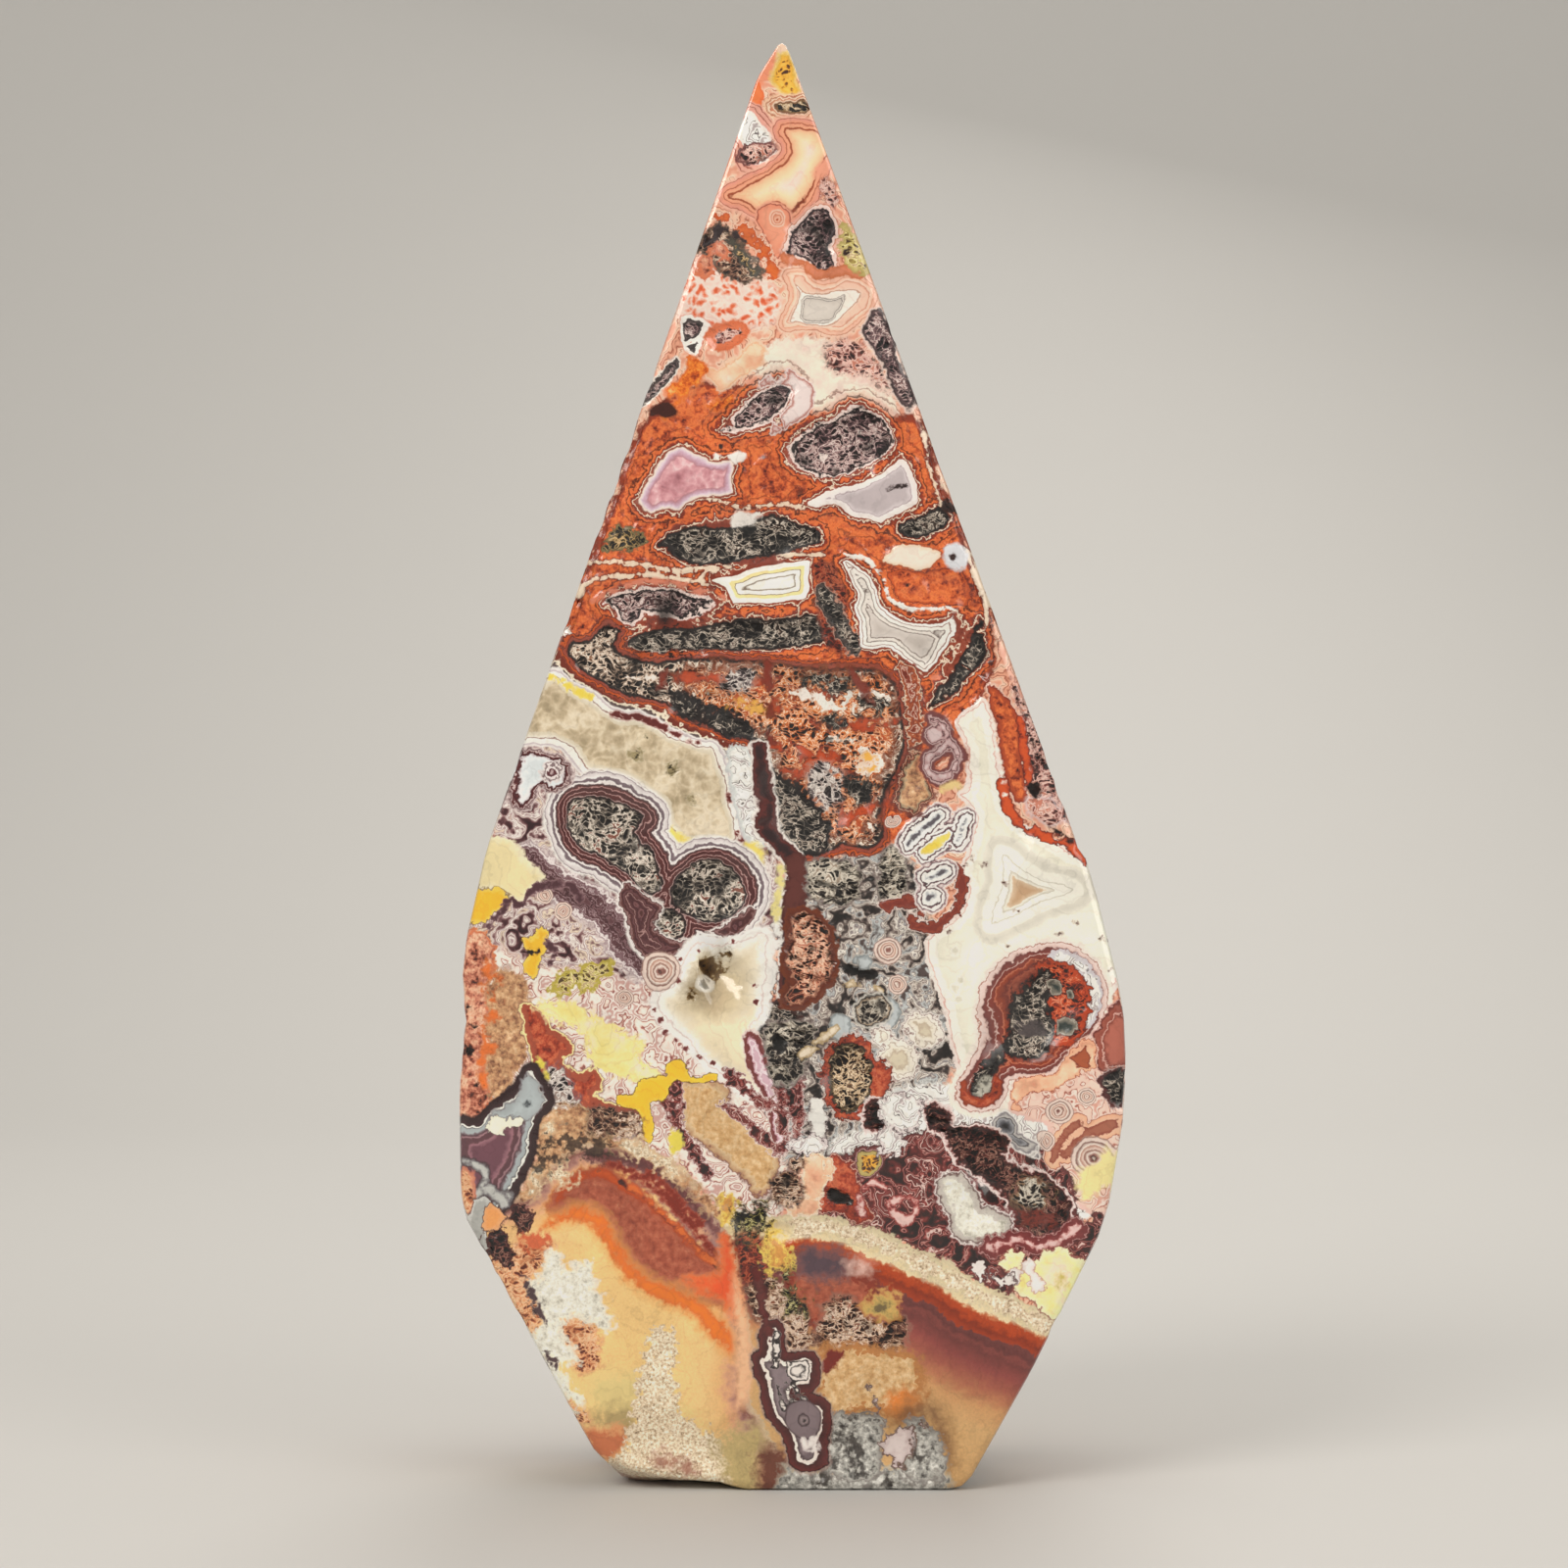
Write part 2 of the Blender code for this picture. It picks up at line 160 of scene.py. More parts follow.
layer("domeYellow", ["area 886,1326 900,1318 914,1322 914,1338 904,1347 890,1345 882,1336"],
    "-1.3 7A6A48 | -1.0 B09A60 | -0.4 CDAC68 | 0.1 C08C58 | 0.6 B0603A 0", grain=0.4, wobble=3.0)
layer("tanMass", [
    "area 836,1384 870,1376 900,1384 921,1384 936,1400 930,1424 905,1440 880,1436 860,1442 842,1440 "
    "834,1410"],
    "-1.5 C98F54 | 0.4 B8824E | 1.2 B8824E 0", paint="tanCloud", grain=0.5, wobble=3.0)
layer("tanGlow", ["area 904,1424 920,1418 938,1426 934,1446 916,1452 902,1448"],
    "-0.8 E08A3C | 0.8 D08A4C 0", wobble=3.0)
layer("darkRedSpot", ["area 842,1382 858,1378 860,1388 852,1398 840,1400"],
    "-0.2 7E2410 | 0.3 8A3018 0", wobble=2.0)
layer("brownShadow", ["line 7 912,1452 930,1440 950,1442 962,1462 966,1500"],
    "-0.8 8A6440 0.85 | 1.6 A98250 0", wobble=2.5)
layer("leftDome", [
    "area 520,1225 548,1196 575,1176 602,1166 650,1170 690,1192 722,1228 744,1262 757,1320 766,1380 760,1420 "
    "775,1455 800,1500 812,1560 700,1700 300,1700 300,1300"],
    "-9 F2CE90 | -5 F0CC92 | -3.4 EBC088 | -2.4 E2AE88 | -1.5 B4867C | -0.9 8A5A50 | -0.3 C4A48C | "
    "0.2 CDB79A | 0.5 CDB79A 0",
    grain=0.35, wobble=2.0)
layer("domeBrick", [
    "area 560,1236 574,1212 592,1198 620,1196 648,1212 672,1236 700,1262 724,1284 742,1300 748,1330 720,1330 "
    "690,1322 664,1312 640,1296 624,1272 606,1248 585,1240"],
    "-3.0 B56A54 | -1.2 AA5F48 | -0.2 B8684A | 0.3 C8804E | 0.9 D99A5A 0", paint="brickGrain",
    paintEdge=-0.6, grain=0.35, wobble=2.0)
layer("domePurpleCap", [
    "area 604,1170 640,1172 676,1186 704,1208 726,1236 742,1262 738,1270 716,1250 690,1224 662,1204 630,1190 "
    "600,1184"],
    "-0.9 6E4040 | -0.2 8A5A58 | 0.4 A88A84 0", wobble=3.0)
layer("greyTongue", ["area 644,1196 668,1206 700,1238 722,1262 736,1268 738,1292 730,1290 712,1268 684,1238"],
    "-0.6 AA8480 | 0.5 A07068 0", grain=0.6, wobble=3.0)
layer("domeStreaks", [
    "line 1.1 646,1194 668,1208 692,1232 712,1258 730,1282", "line 0.7 660,1196 690,1222 716,1250",
    "line 0.6 620,1188 648,1198 676,1222 700,1246"],
    "-0.1 8A2E18 | 0.15 A8442A 0.8 | 0.5 B06048 0", grain=0.3, wobble=1.8)
layer("upperArc", [
    "area 566,1222 576,1204 592,1194 612,1190 630,1198 648,1210 668,1226 690,1248 712,1270 734,1290 741,1300 "
    "736,1302 716,1286 694,1266 672,1246 652,1229 634,1216 612,1204 592,1206 578,1220 568,1236"],
    "-0.9 CC5A16 | -0.5 B84E18 | -0.2 B0583A 0.7 | 0.3 B8684A 0", wobble=1.5)
layer("arcEdge", ["line 0.6 634,1205 652,1219 674,1239 698,1261 720,1283 735,1297",
                  "line 1 690,1252 712,1273 733,1294"],
    "-0.05 4A1C10 | 0.1 6A2814 0.9 | 0.3 A04A28 0", wobble=0.9)
layer("arcGlow", ["line 0.8 644,1210 664,1228 686,1248 708,1270 728,1290"],
    "-0.1 E67A34 0.9 | 0.12 D8682E 0.6 | 0.35 C86030 0", wobble=1.4)
layer("lowerArc", [
    "area 552,1252 562,1242 585,1234 606,1236 620,1250 632,1270 646,1290 664,1304 684,1312 700,1320 730,1340 "
    "748,1362 748,1384 722,1362 700,1340 676,1328 656,1318 638,1302 622,1280 606,1256 585,1246 566,1252"],
    "-1.0 EC8428 | -0.5 E27C34 | 0.1 E8A45C 0.6 | 1.1 EBBA78 0", wobble=1.8)
layer("domeFire", [
    "area 736,1262 744,1268 752,1300 758,1330 752,1350 742,1330 722,1318 700,1306 722,1304 738,1300"],
    "-0.8 E8622C | 0 E87A40 0.9 | 0.8 F0A068 0", wobble=2.0)
layer("domePeach", ["area 752,1300 760,1330 768,1380 766,1410 756,1440 748,1420 752,1380 748,1340"],
    "-0.7 F3C39C | 0.6 EFB88A 0", wobble=1.5)
layer("domeHoney", ["area 604,1404 650,1400 656,1430 650,1452 620,1452 600,1438"],
    "-1.5 E0CC90 | 1.0 E0CC90 0", wobble=3.0)
layer("oliveShade", ["area 598,1442 620,1436 646,1440 650,1456 630,1462 600,1454"],
    "-1.0 A89468 0.8 | 0.9 B8A070 0", wobble=3.0)
layer("peachFoot", ["area 596,1462 644,1460 640,1478 622,1492 606,1484", "spot 632,1470 8"],
    "-0.9 CB7C54 | -0.3 DDA070 | 0.6 E0A878 0", wobble=2.5)
layer("leftRim", [
    "area 498,1285 520,1270 560,1262 566,1280 548,1300 552,1330 556,1352 552,1372 590,1430 600,1450 584,1450 "
    "548,1392 510,1320"],
    "-0.6 E6B186 | 0.6 E3AE80 0", paint="peachPits", porous=0.45, grain=0.5, wobble=2.5)
layer("peachMix", ["area 568,1345 606,1345 614,1372 612,1390 596,1400 576,1380"],
    "-0.5 DDA078 | 0.6 DDA078 0", paint="peachPits", porous=0.4, grain=0.5, wobble=3.0)
layer("sugar", [
    "area 563,1279 577,1298 600,1289 602,1308 608,1323 619,1343 621,1358 608,1350 592,1343 573,1345 567,1356 "
    "573,1368 585,1383 573,1393 558,1385 546,1373 548,1360 556,1346 546,1323 542,1310 558,1304",
    "line 3 552,1383 570,1406 590,1433"],
    "-0.4 EFEDE0 | 0.3 EFE3D0 | 0.7 EFE3D0 0", paint="sugar", grain=0.8, wobble=3.0)
layer("rimCrack", ["line 1.6 534,1306 544,1325 552,1343 558,1352", "line 2.5 560,1384 572,1392"],
    "-0.1 5A4448 | 0.3 5A4448 0", wobble=2.5)
layer("grainCone", [
    "area 669,1366 680,1364 683,1380 684,1410 688,1434 704,1454 728,1468 742,1500 742,1522 683,1514 654,1508 "
    "629,1496 640,1480 652,1455 656,1426 662,1396"],
    "-0.3 DCCBB4 | 0.4 DCCBB0 | 0.8 DCC8A4 0", paint="sand", paintEdge=0.7, grain=0.8, rugged=0.6, wobble=4.0)
layer("grainBrown", ["spot 684,1490 10", "spot 703,1498 6"], "-0.8 A8705E 0.8 | 1.0 B08070 0", wobble=4.0)
layer("footSand", ["area 735,1466 758,1458 778,1462 780,1500 770,1530 745,1530 738,1495"],
    "-1.0 C2AE7C | 0.9 C8B890 0", grain=0.5, wobble=3.0)
layer("footBrown", ["area 776,1486 800,1480 812,1500 812,1530 780,1530"],
    "-0.8 7A4A3A | 0.9 8A5A48 0", grain=0.4, wobble=3.0)
layer("footGrey", ["area 806,1498 850,1502 900,1496 958,1494 962,1524 880,1530 800,1530"],
    "-0.3 BDB8AA | 0.8 BDB8AA 0", paint="greyDruse", grain=0.8, wobble=3.0)
layer("druse", [
    "area 836,1452 850,1446 870,1450 892,1448 894,1480 890,1506 860,1508 838,1496",
    "area 921,1458 935,1454 948,1462 958,1478 960,1504 936,1508 921,1500"],
    "-0.3 C3C1BA | 0.4 8A8480 | 0.8 A8A098 0", paint="greyDruse", grain=1.0, porous=0.3, rugged=1.0,
    wobble=2.5)
layer("pinkVein", ["area 905,1466 916,1460 926,1468 924,1484 914,1496 904,1490 900,1476",
                   "line 1.2 886,1418 897,1440 908,1462", "line 1.2 926,1466 944,1456"],
    "-0.7 DCCFCC | -0.1 CDBCBA | 0.08 6A5048 | 0.2 8A7468 | 0.35 8A7468 0", wobble=2.2)
layer("druseDark", [
    "line 1 846,1456 852,1480 848,1500", "line 1 866,1450 872,1476 880,1500", "spot 856,1466 6",
    "spot 870,1488 7", "spot 940,1486 6", "line 1 930,1470 942,1494", "spot 838,1510 5", "spot 905,1514 5"],
    "-0.3 4E4844 0.9 | 0.5 6A645E 0", grain=0.6, rugged=1.5, wobble=4.0)

# the seam between the domes
layer("seamRust", ["area 752,1258 782,1258 786,1300 790,1330 776,1342 764,1320 756,1290"],
    "-0.4 7A2E1C | 0.6 7A2E1C 0", paint="rustSpots", grain=0.7, porous=0.3, wobble=2.5)
layer("seamBrown", ["area 766,1310 800,1305 812,1330 826,1345 828,1380 800,1384 780,1360 764,1335"],
    "-0.4 7A5448 | 0.6 7A5448 0", paint="brownPores", grain=0.7, porous=0.5, wobble=2.5)
layer("seamCore", ["area 783,1360 790,1356 792,1382 800,1392 826,1388 824,1412 806,1418 812,1432 834,1436 "
                   "838,1452 832,1474 834,1492 816,1492 806,1462 790,1440 782,1410 776,1390 784,1384"],
    "-0.8 8F8084 | -0.35 5A4A4E | -0.28 F0E4DC | 0.05 F0E4DC | 0.12 4A2020 | 0.95 6A2C2A | 1.1 3A1C1C | "
    "1.2 A89088 0.8 | 1.5 A89088 0", wobble=0.9)
layer("seamRise", ["line 3.4 783,1362 779,1340 776,1318 772,1296"],
    "-0.3 6E302C | 0.1 5A2624 | 0.3 5A2624 0", wobble=1.5)
layer("seamLace", ["sharp 801,1391 826,1390 824,1408 812,1412 802,1406", "line 1 792,1414 802,1440",
                   "line 1 800,1410 812,1436", "line 1 808,1412 822,1434", "line 3 792,1362 790,1396"],
    "-0.7 E6DED8 | -0.45 2A2022 | -0.3 E6DED8 | -0.1 E6DED8 | 0 2A2022 | 0.1 2A2022 0.9 | 0.2 D8CCC8 0",
    wobble=0.8)
layer("seamDisc", ["spot 819.6,1449.6 19"],
    "-2.3 8A7A7C | -2.0 2A2022 | -1.85 8A7A7C | -1.75 9A8A8C | -1.45 4A3A3E | -1.3 8A7A7E | -0.25 857579 | "
    "-0.1 5A484C | 0.05 5A484C 0", wobble=0.3)
layer("seamWhite", ["line 1.6 818,1470 824,1480 829,1468 834,1480"],
    "-0.05 F0E8E4 | 0.15 F0E8E4 0.7 | 0.3 D0C0C0 0", wobble=0.8)
layer("nodeYellow", ["area 785,1245 796,1260 808,1284 804,1298 788,1298 781,1282 780,1262",
                     "area 732,1222 748,1226 750,1246 738,1250"],
    "-1.0 D8A058 | -0.3 E8CC68 | 0.4 E8CC78 0", grain=0.6, rugged=0.6, wobble=4.0)
layer("nodeBlack", [
    "area 752,1243 764,1239 780,1245 783,1254 771,1259 756,1253", "line 3 777,1220 778,1246",
    "line 1.6 801,1298 804,1320 806,1342", "spot 812,1336 5"],
    "-0.5 1E1815 | 0.1 2E2620 0.9 | 0.4 6A6038 0.5 | 0.8 B8A050 0", paint="greenPores", paintEdge=0.1,
    porous=1.0, rugged=1.8, wobble=5.0)

# upper agates
layer("tipPale", ["area 782,30 812,30 812,60 800,57 790,60 783,66"],
    "-0.2 F3D3BC | 0.4 F3D3BC 0")
layer("tipSalmon", ["area 786,52 790,60 782,80 770,96 764,104 772,80"], "-0.1 EC9C7C | 0.4 EC9C7C 0")
layer("tipOchre", [
    "area 796,58 803,57 807,66 811,80 814,92 811,97 801,94 795,86 791,78 794,68"],
    "-0.5 F0B040 | 0.0 E3B84E | 0.35 E9D080 0.8 | 0.7 E9D080 0", paint="ochrePits", grain=0.4)
layer("tipOrange", [
    "area 772,87 777,90 780,97 776,103 774,110 779,118 780,126 776,127 770,119 762,113 762,107 767,95"],
    "-0.3 F08A55 | 0.1 E87A48 | 0.25 E87A48 0")
layer("tipOlive", ["area 790,108 796,104 806,103 815,102 822,104 824,112 818,116 806,115 795,112"],
    "-0.45 A89068 | -0.1 8A6A48 | 0.05 8A5A45 | 0.15 F0D8C0 | 0.4 C88060 | 0.5 F3DCC4 | 0.75 B87050 | "
    "0.85 F0CDB0 | 1.2 F0C8A8 0", paint="creamPores", porous=0.6, wobble=0.9)
layer("tipWhite", [
    "area 757,122 761,113 768,116 775,125 785,136 795,143 798,149 795,156 787,160 782,166 772,169 765,167 "
    "760,160 758,148 753,138"],
    "-0.35 EDE3DC | -0.05 F3ECE6 | 0.1 E3A79B | 0.45 E8B0A0 | 0.55 9A4A38 | 0.65 E8B0A0 | 0.95 E8B0A0 | "
    "1.05 9A4A38 | 1.15 E8B0A0 | 1.4 E8B0A0 0", paint="whiteLace", paintEdge=-0.2, wobble=0.6)
layer("tipClast", ["area 757,150 766,146 778,147 790,147 794,151 787,157 781,165 770,168 758,166 753,158"],
    "-0.3 A87870 | 0.05 7A4848 | 0.2 7A4848 0", paint="rosePores", porous=0.8, wobble=1.4)
layer("peachAgate", [
    "area 800,133 815,132 833,136 841,145 845,155 841,162 837,172 833,182 828,192 823,200 815,208 808,214 "
    "803,210 797,206 790,204 783,206 778,213 768,208 757,203 744,200 755,196 762,190 775,184 790,176 803,166 "
    "808,155 806,145"],
    "-1.9 F8E0D2 | -1.1 FADCB8 | -0.5 F8CCA6 | -0.1 F3B896 | 0.02 9A4A30 | 0.14 B5694B | 0.24 EFB090 | "
    "0.5 E8A488 | 0.58 A85A40 | 0.68 E8A488 | 1.1 E3A090 | 1.16 A85A40 | 1.26 EDB8A4 | 1.8 EDB8A4 0",
    wobble=0.5)
layer("peachThick", ["line 1.2 823,200 816,208 809,213"], "-0.05 8A4028 | 0.15 8A4028 0")
layer("salmonBody", ["area 778,212 790,208 804,214 808,226 804,240 796,254 792,262 786,250 780,236 775,224"],
    "-0.6 EBA488 | 0 E6987C | 0.12 9A4A38 | 0.22 E8A890 | 0.6 E8A890 0", wobble=0.6)
layer("topRing", ["spot 794,221 8"],
    "-0.95 9A4A34 | -0.7 C06A4C | -0.62 F0C0A8 | -0.4 CC8062 | -0.3 F0C8B4 | -0.1 D48E74 | 0 F3CFBC | "
    "0.2 F3CFBC 0", wobble=0.3)
layer("topSpeckle", [
    "area 712,262 728,256 742,262 756,284 776,284 790,290 798,312 788,330 760,334 730,336 700,330 694,310"],
    "-0.4 F0D8CE | 0.5 F0D8CE 0", paint="speckle", wobble=2.0)
layer("topBrown", ["area 838,183 852,185 856,204 848,212 840,205"], "-0.3 A05A4A | 0.2 A05A4A 0",
    paint="rosePores", porous=0.6, wobble=2.0)
layer("slotBand", [
    "line 3.2 736,222 747,224 758,233 769,244 780,257 786,271 788,280"],
    "-0.2 E0773A | 0.15 C85E2E | 0.3 F0D0BC | 0.5 F0D0BC 0", wobble=2.0)
layer("slotClast", [
    "area 733,226 742,229 753,240 765,254 775,267 777,278 770,286 758,284 748,282 736,276 726,266 716,258 "
    "714,248 720,238 726,230"],
    "-0.6 7A6E5E | 0.02 6A5648 | 0.2 6A5648 0.7 | 0.45 C08470 0", paint="brownPores", porous=0.8, wobble=2.0)
layer("slotOlive", ["area 744,236 754,246 766,260 775,274 768,280 760,268 750,254 742,244"],
    "-0.3 6A685A | 0.1 4A443C | 0.3 4A443C 0", paint="olivePores", porous=0.5, grain=0.5, wobble=1.4)
layer("slotFlesh", [
    "area 738,244 746,252 742,262 732,256 734,248", "area 718,262 726,270 722,280 712,276 712,266"],
    "-0.3 D98A68 | 0.2 D07A58 | 0.4 D07A58 0", paint="salmonMix", grain=0.4, wobble=2.0)
# painted shadow: a dark line along the upper-left edge of the slot's hollow, and a dark corner at its top
layer("slotDark", ["line 1.2 736,228 750,237 766,252 776,268", "area 728,230 737,231 735,240 727,248 719,250 "
                   "721,240"],
    "-0.05 3A282C | 0.2 4A3438 0", porous=0.6, wobble=1.4)
layer("topLava", [
    "area 808,232 815,228 822,222 830,215 838,213 843,217 846,223 850,232 849,240 845,248 840,252 836,256 "
    "826,262 815,262 806,260 803,254 808,245 806,238",
    "area 826,264 834,260 842,258 848,262 849,272 844,280 838,278 832,270"],
    "-0.5 5E4A4C | -0.05 3A2A2E | 0.05 3A2A2E | 0.14 E9CFC8 | 0.45 EFD8D0 | 0.55 C07858 | 0.65 E8B8A8 | "
    "0.95 E8B8A8 0", paint="lava", porous=1.0, wobble=0.8)
layer("geodeOuter", [
    "area 800,282 808,276 820,276 828,284 838,290 852,286 862,282 875,284 888,292 893,302 888,315 878,325 "
    "868,334 858,340 845,338 830,334 815,334 803,338 796,330 800,318 806,305 806,292"],
    "-0.9 F3CCB8 | -0.7 D89C84 | -0.6 F6D8C6 | -0.3 F3C8B0 | -0.2 DCA088 | -0.1 F0C0AA | 0.15 F0C0AA | "
    "0.25 C88C74 | 0.35 F3CCB8 | 0.8 F3CCB8 0", wobble=0.5)
layer("geodeWhite", [
    "area 812,290 822,298 838,300 852,297 872,297 878,300 868,312 858,322 850,330 835,332 815,328 806,328 "
    "812,312 815,300"],
    "-0.6 F0E6DC | -0.1 F3EAE2 | 0.02 C09078 | 0.12 F0D4C4 | 0.3 F0D4C4 0", wobble=0.5)
layer("geodeCore", ["area 818,308 824,302 848,306 862,302 852,320 844,328 818,326"],
    "-0.5 D8D0C8 | -0.2 CFC6BE | -0.12 8A8480 | -0.04 E8E0D8 | 0.1 A8A09A | 0.2 A8A09A 0", wobble=0.5)
layer("geodeBand", ["line 3.6 800,262 803,265 820,268 830,278 840,280 852,278 862,275 875,282"],
    "-0.3 D98C6C | 0.1 C87850 | 0.3 C87850 0")
layer("yellowGreen", [
    "area 862,232 868,236 874,246 880,258 886,272 880,278 870,274 862,266 858,256 860,244"],
    "-0.3 D9C98A | 0.2 B9A86A | 0.5 B9A86A 0", paint="oliveMix", grain=0.4, wobble=2.0)
layer("pinkTopBands", ["line 6 836,178 850,160"], "-0.4 E8A58C | 0.2 E8A58C 0")
layer("darkTriangle", ["sharp 698,330 706,328 716,329 723,334 718,342 713,350 708,357 704,350 700,340"],
    "-0.4 8A807C | -0.05 4A3E3E | 0.06 4A3E3E | 0.14 F3ECE6 | 0.5 F3ECE6 | 0.6 E0A090 0.8 | 0.8 E0A090 0",
    paint="lava", porous=0.7, wobble=0.9)
layer("orangeBlob", ["area 730,335 742,332 755,330 760,338 756,346 746,352 737,356 728,350 726,342"],
    "-0.3 E2825A | 0.2 D97850 | 0.5 E8B090 0", paint="rosePores", paintEdge=-0.5, porous=0.3)
layer("peachPocket", [
    "area 720,378 735,376 748,366 760,356 770,348 778,355 776,370 768,378 755,386 745,393 735,397"],
    "-0.8 EABF9C | -0.2 E8B48E | 0.1 F0D0B8 | 0.4 F0D0B8 0", paint="peachCloud", wobble=1.4)
layer("purpleStrip", [
    "area 890,318 896,316 902,328 908,342 912,360 920,380 930,402 928,418 918,405 908,385 900,365 888,352 "
    "880,342 884,330"],
    "-0.4 7A5E60 | 0.1 4A3A3C | 0.35 E8D4CC 0.9 | 0.6 E8D4CC 0", paint="lava", porous=0.7)
layer("leftSliver", ["area 690,366 691,374 683,386 673,398 664,408 656,413 660,402 672,386 680,376"],
    "-0.2 6B5E5A | 0.05 4A3E3E | 0.15 F0E8E0 | 0.4 F0E8E0 0", paint="lava", porous=0.6, wobble=0.8)
layer("orangeTongue", [
    "area 703,366 712,366 718,374 716,384 710,392 700,398 690,404 680,402 688,394 698,386 704,376",
    "area 770,393 762,396 752,402 742,408 730,412 720,416 732,420 746,416 756,408 764,402",
    "line 2.5 700,400 690,412 676,424"],
    "-0.2 EE8232 | 0.15 E07A38 | 0.5 E8A070 0", paint="ember", paintEdge=0.1, grain=0.3, wobble=1.6)
layer("topCrack", ["area 680,408 690,418 684,424 672,424 662,420 674,412"], "-0.1 4A1F14 | 0.3 8A3B25 0")

# rust zone: banded edges run round every clast
rustShapes = [
    "area 733,437 742,430 752,422 762,412 772,402 780,396 790,390 800,386 806,392 808,400 803,410 798,418 "
    "790,426 778,434 765,438 750,440",
    "area 803,457 808,449 818,443 822,437 835,430 850,424 862,417 873,414 885,418 897,424 906,434 911,445 "
    "909,455 900,463 888,470 875,476 862,483 850,488 838,488 828,483 815,475 807,467",
    "area 648,512 653,504 658,496 664,485 670,474 677,466 685,459 694,456 703,459 711,464 718,466 722,469 "
    "733,471 745,470 748,475 748,490 747,497 748,503 740,507 730,508 718,508 708,510 700,514 694,520 "
    "682,520 672,521 664,523 658,518 654,514",
    "area 823,516 832,509 842,504 855,500 868,497 880,492 890,487 900,484 908,477 915,470 920,468 927,474 "
    "930,484 933,494 936,505 937,513 930,519 920,523 912,526 905,530 897,533 888,531 878,529 868,527 "
    "862,520 855,516 845,515 835,518",
    "area 673,556 680,549 690,543 700,539 712,536 728,532 745,530 760,530 785,525 800,528 815,535 828,540 "
    "837,545 835,552 825,556 812,558 800,562 780,565 765,568 745,571 725,573 712,573 700,570 690,565 "
    "680,560",
    "area 618,615 624,608 634,603 645,601 660,600 675,600 690,600 705,604 720,606 730,612 732,618 728,625 "
    "720,629 708,632 695,630 685,627 672,626 660,628 655,634 645,638 637,634 632,628 635,622 628,618",
    "area 725,592 735,589 755,586 768,580 785,577 805,575 820,573 828,572 826,580 824,590 826,600 822,612 "
    "805,614 785,615 765,615 748,617 744,608 740,598 733,595",
    "area 645,660 650,652 660,645 672,643 685,642 700,641 715,640 728,639 742,636 755,634 770,633 785,632 "
    "800,632 815,630 826,628 834,632 838,640 842,652 835,656 820,658 800,660 780,660 765,661 745,662 "
    "725,661 710,664 700,662 690,666 675,668 660,666 650,665",
    "area 860,573 868,573 880,582 888,588 893,597 897,608 900,618 907,626 916,633 930,637 945,638 958,637 "
    "970,628 977,626 972,638 964,652 955,667 948,680 942,686 934,680 924,673 913,665 903,661 890,663 "
    "880,661 878,648 876,632 873,620 877,606 871,596 867,586",
    "area 918,536 930,532 945,525 958,520 967,528 960,538 948,544 930,545 920,542",
    "area 948,722 955,705 965,690 975,675 985,658 993,645 998,632 1002,640 1000,655 1002,668 992,678 "
    "982,690 972,702 960,714 950,722"]
layer("rustBands", rustShapes,
    "0 8A3B25 | 0.25 A85A44 | 0.3 EBD9C4 | 0.37 EBD9C4 | 0.43 7A3424 | 0.62 9A4028 | 0.75 DC7440 0.9 | "
    "0.95 E07C48 0.5 | 1.05 4A1C12 0.9 | 1.15 4A1C12 0.8 | 1.3 C8622E 0.3 | 1.9 D87440 0 | 2.0 6A2818 0.6 | "
    "2.1 6A2818 0.5 | 2.25 D87440 0", wobble=1.4, rugged=0.4)
layer("rustCream", ["line 1.4 600,572 640,574 680,582 720,578 760,572 800,566 840,566",
                    "line 1.2 592,608 604,592 640,588 690,590 722,596", "line 1 940,440 950,480 962,520",
                    "line 1 690,500 760,518 800,514 822,520", "line 1.2 985,560 1000,600 1006,640"],
    "-0.08 EBD9C4 | 0.05 EBD9C4 0.8 | 0.12 7A3424 0.9 | 0.3 7A3424 0", wobble=0.9)
layer("lensAmethyst", [
    "area 648,512 653,504 658,496 664,485 670,474 677,466 685,459 694,456 703,459 711,464 718,466 722,469 "
    "733,471 745,470 748,475 748,490 747,497 748,503 740,507 730,508 718,508 708,510 700,514 694,520 "
    "682,520 672,521 664,523 658,518 654,514"],
    "-1.7 A67A85 | -1.0 B9858C | -0.6 CFAFC0 | -0.35 E0D0D8 | -0.1 EEDDD0 | 0.02 9A6A60 | 0.12 9A6A60 0",
    paint="amethyst", paintEdge=-0.9, wobble=0.6)
layer("lavaClasts", [
    "area 733,437 742,430 752,422 762,412 772,402 780,396 790,390 800,386 806,392 808,400 803,410 798,418 "
    "790,426 778,434 765,438 750,440",
    "area 803,457 808,449 818,443 822,437 835,430 850,424 862,417 873,414 885,418 897,424 906,434 911,445 "
    "909,455 900,463 888,470 875,476 862,483 850,488 838,488 828,483 815,475 807,467",
    "area 618,615 624,608 634,603 645,601 660,600 675,600 690,600 705,604 720,606 730,612 732,618 728,625 "
    "720,629 708,632 695,630 685,627 672,626 660,628 655,634 645,638 637,634 632,628 635,622 628,618"],
    "-0.6 5E4C4E | -0.45 2E2426 | -0.35 2E2426 | -0.28 E6D2CC | -0.05 EFDCD6 | 0.05 9A5040 | "
    "0.15 9A5040 0", paint="lava", paintEdge=-0.4, porous=1.0, wobble=0.9)
layer("clastWhiteRim", [
    "area 775,400 777,390 785,385 795,383 803,377 810,379 814,386 822,390 828,398 827,408 826,416 "
    "818,424 808,430 798,436 788,440 800,424 808,410 810,398 804,388 794,388"],
    "-0.2 EADBD8 | 0.1 B87A70 | 0.25 EADBD8 | 0.4 EADBD8 0", wobble=0.8)
layer("clastVein", ["line 1 812,445 835,445 838,465 833,485", "line 0.8 838,450 870,440 900,440"],
    "-0.02 E9DAD4 | 0.12 E9DAD4 0", wobble=1.5)
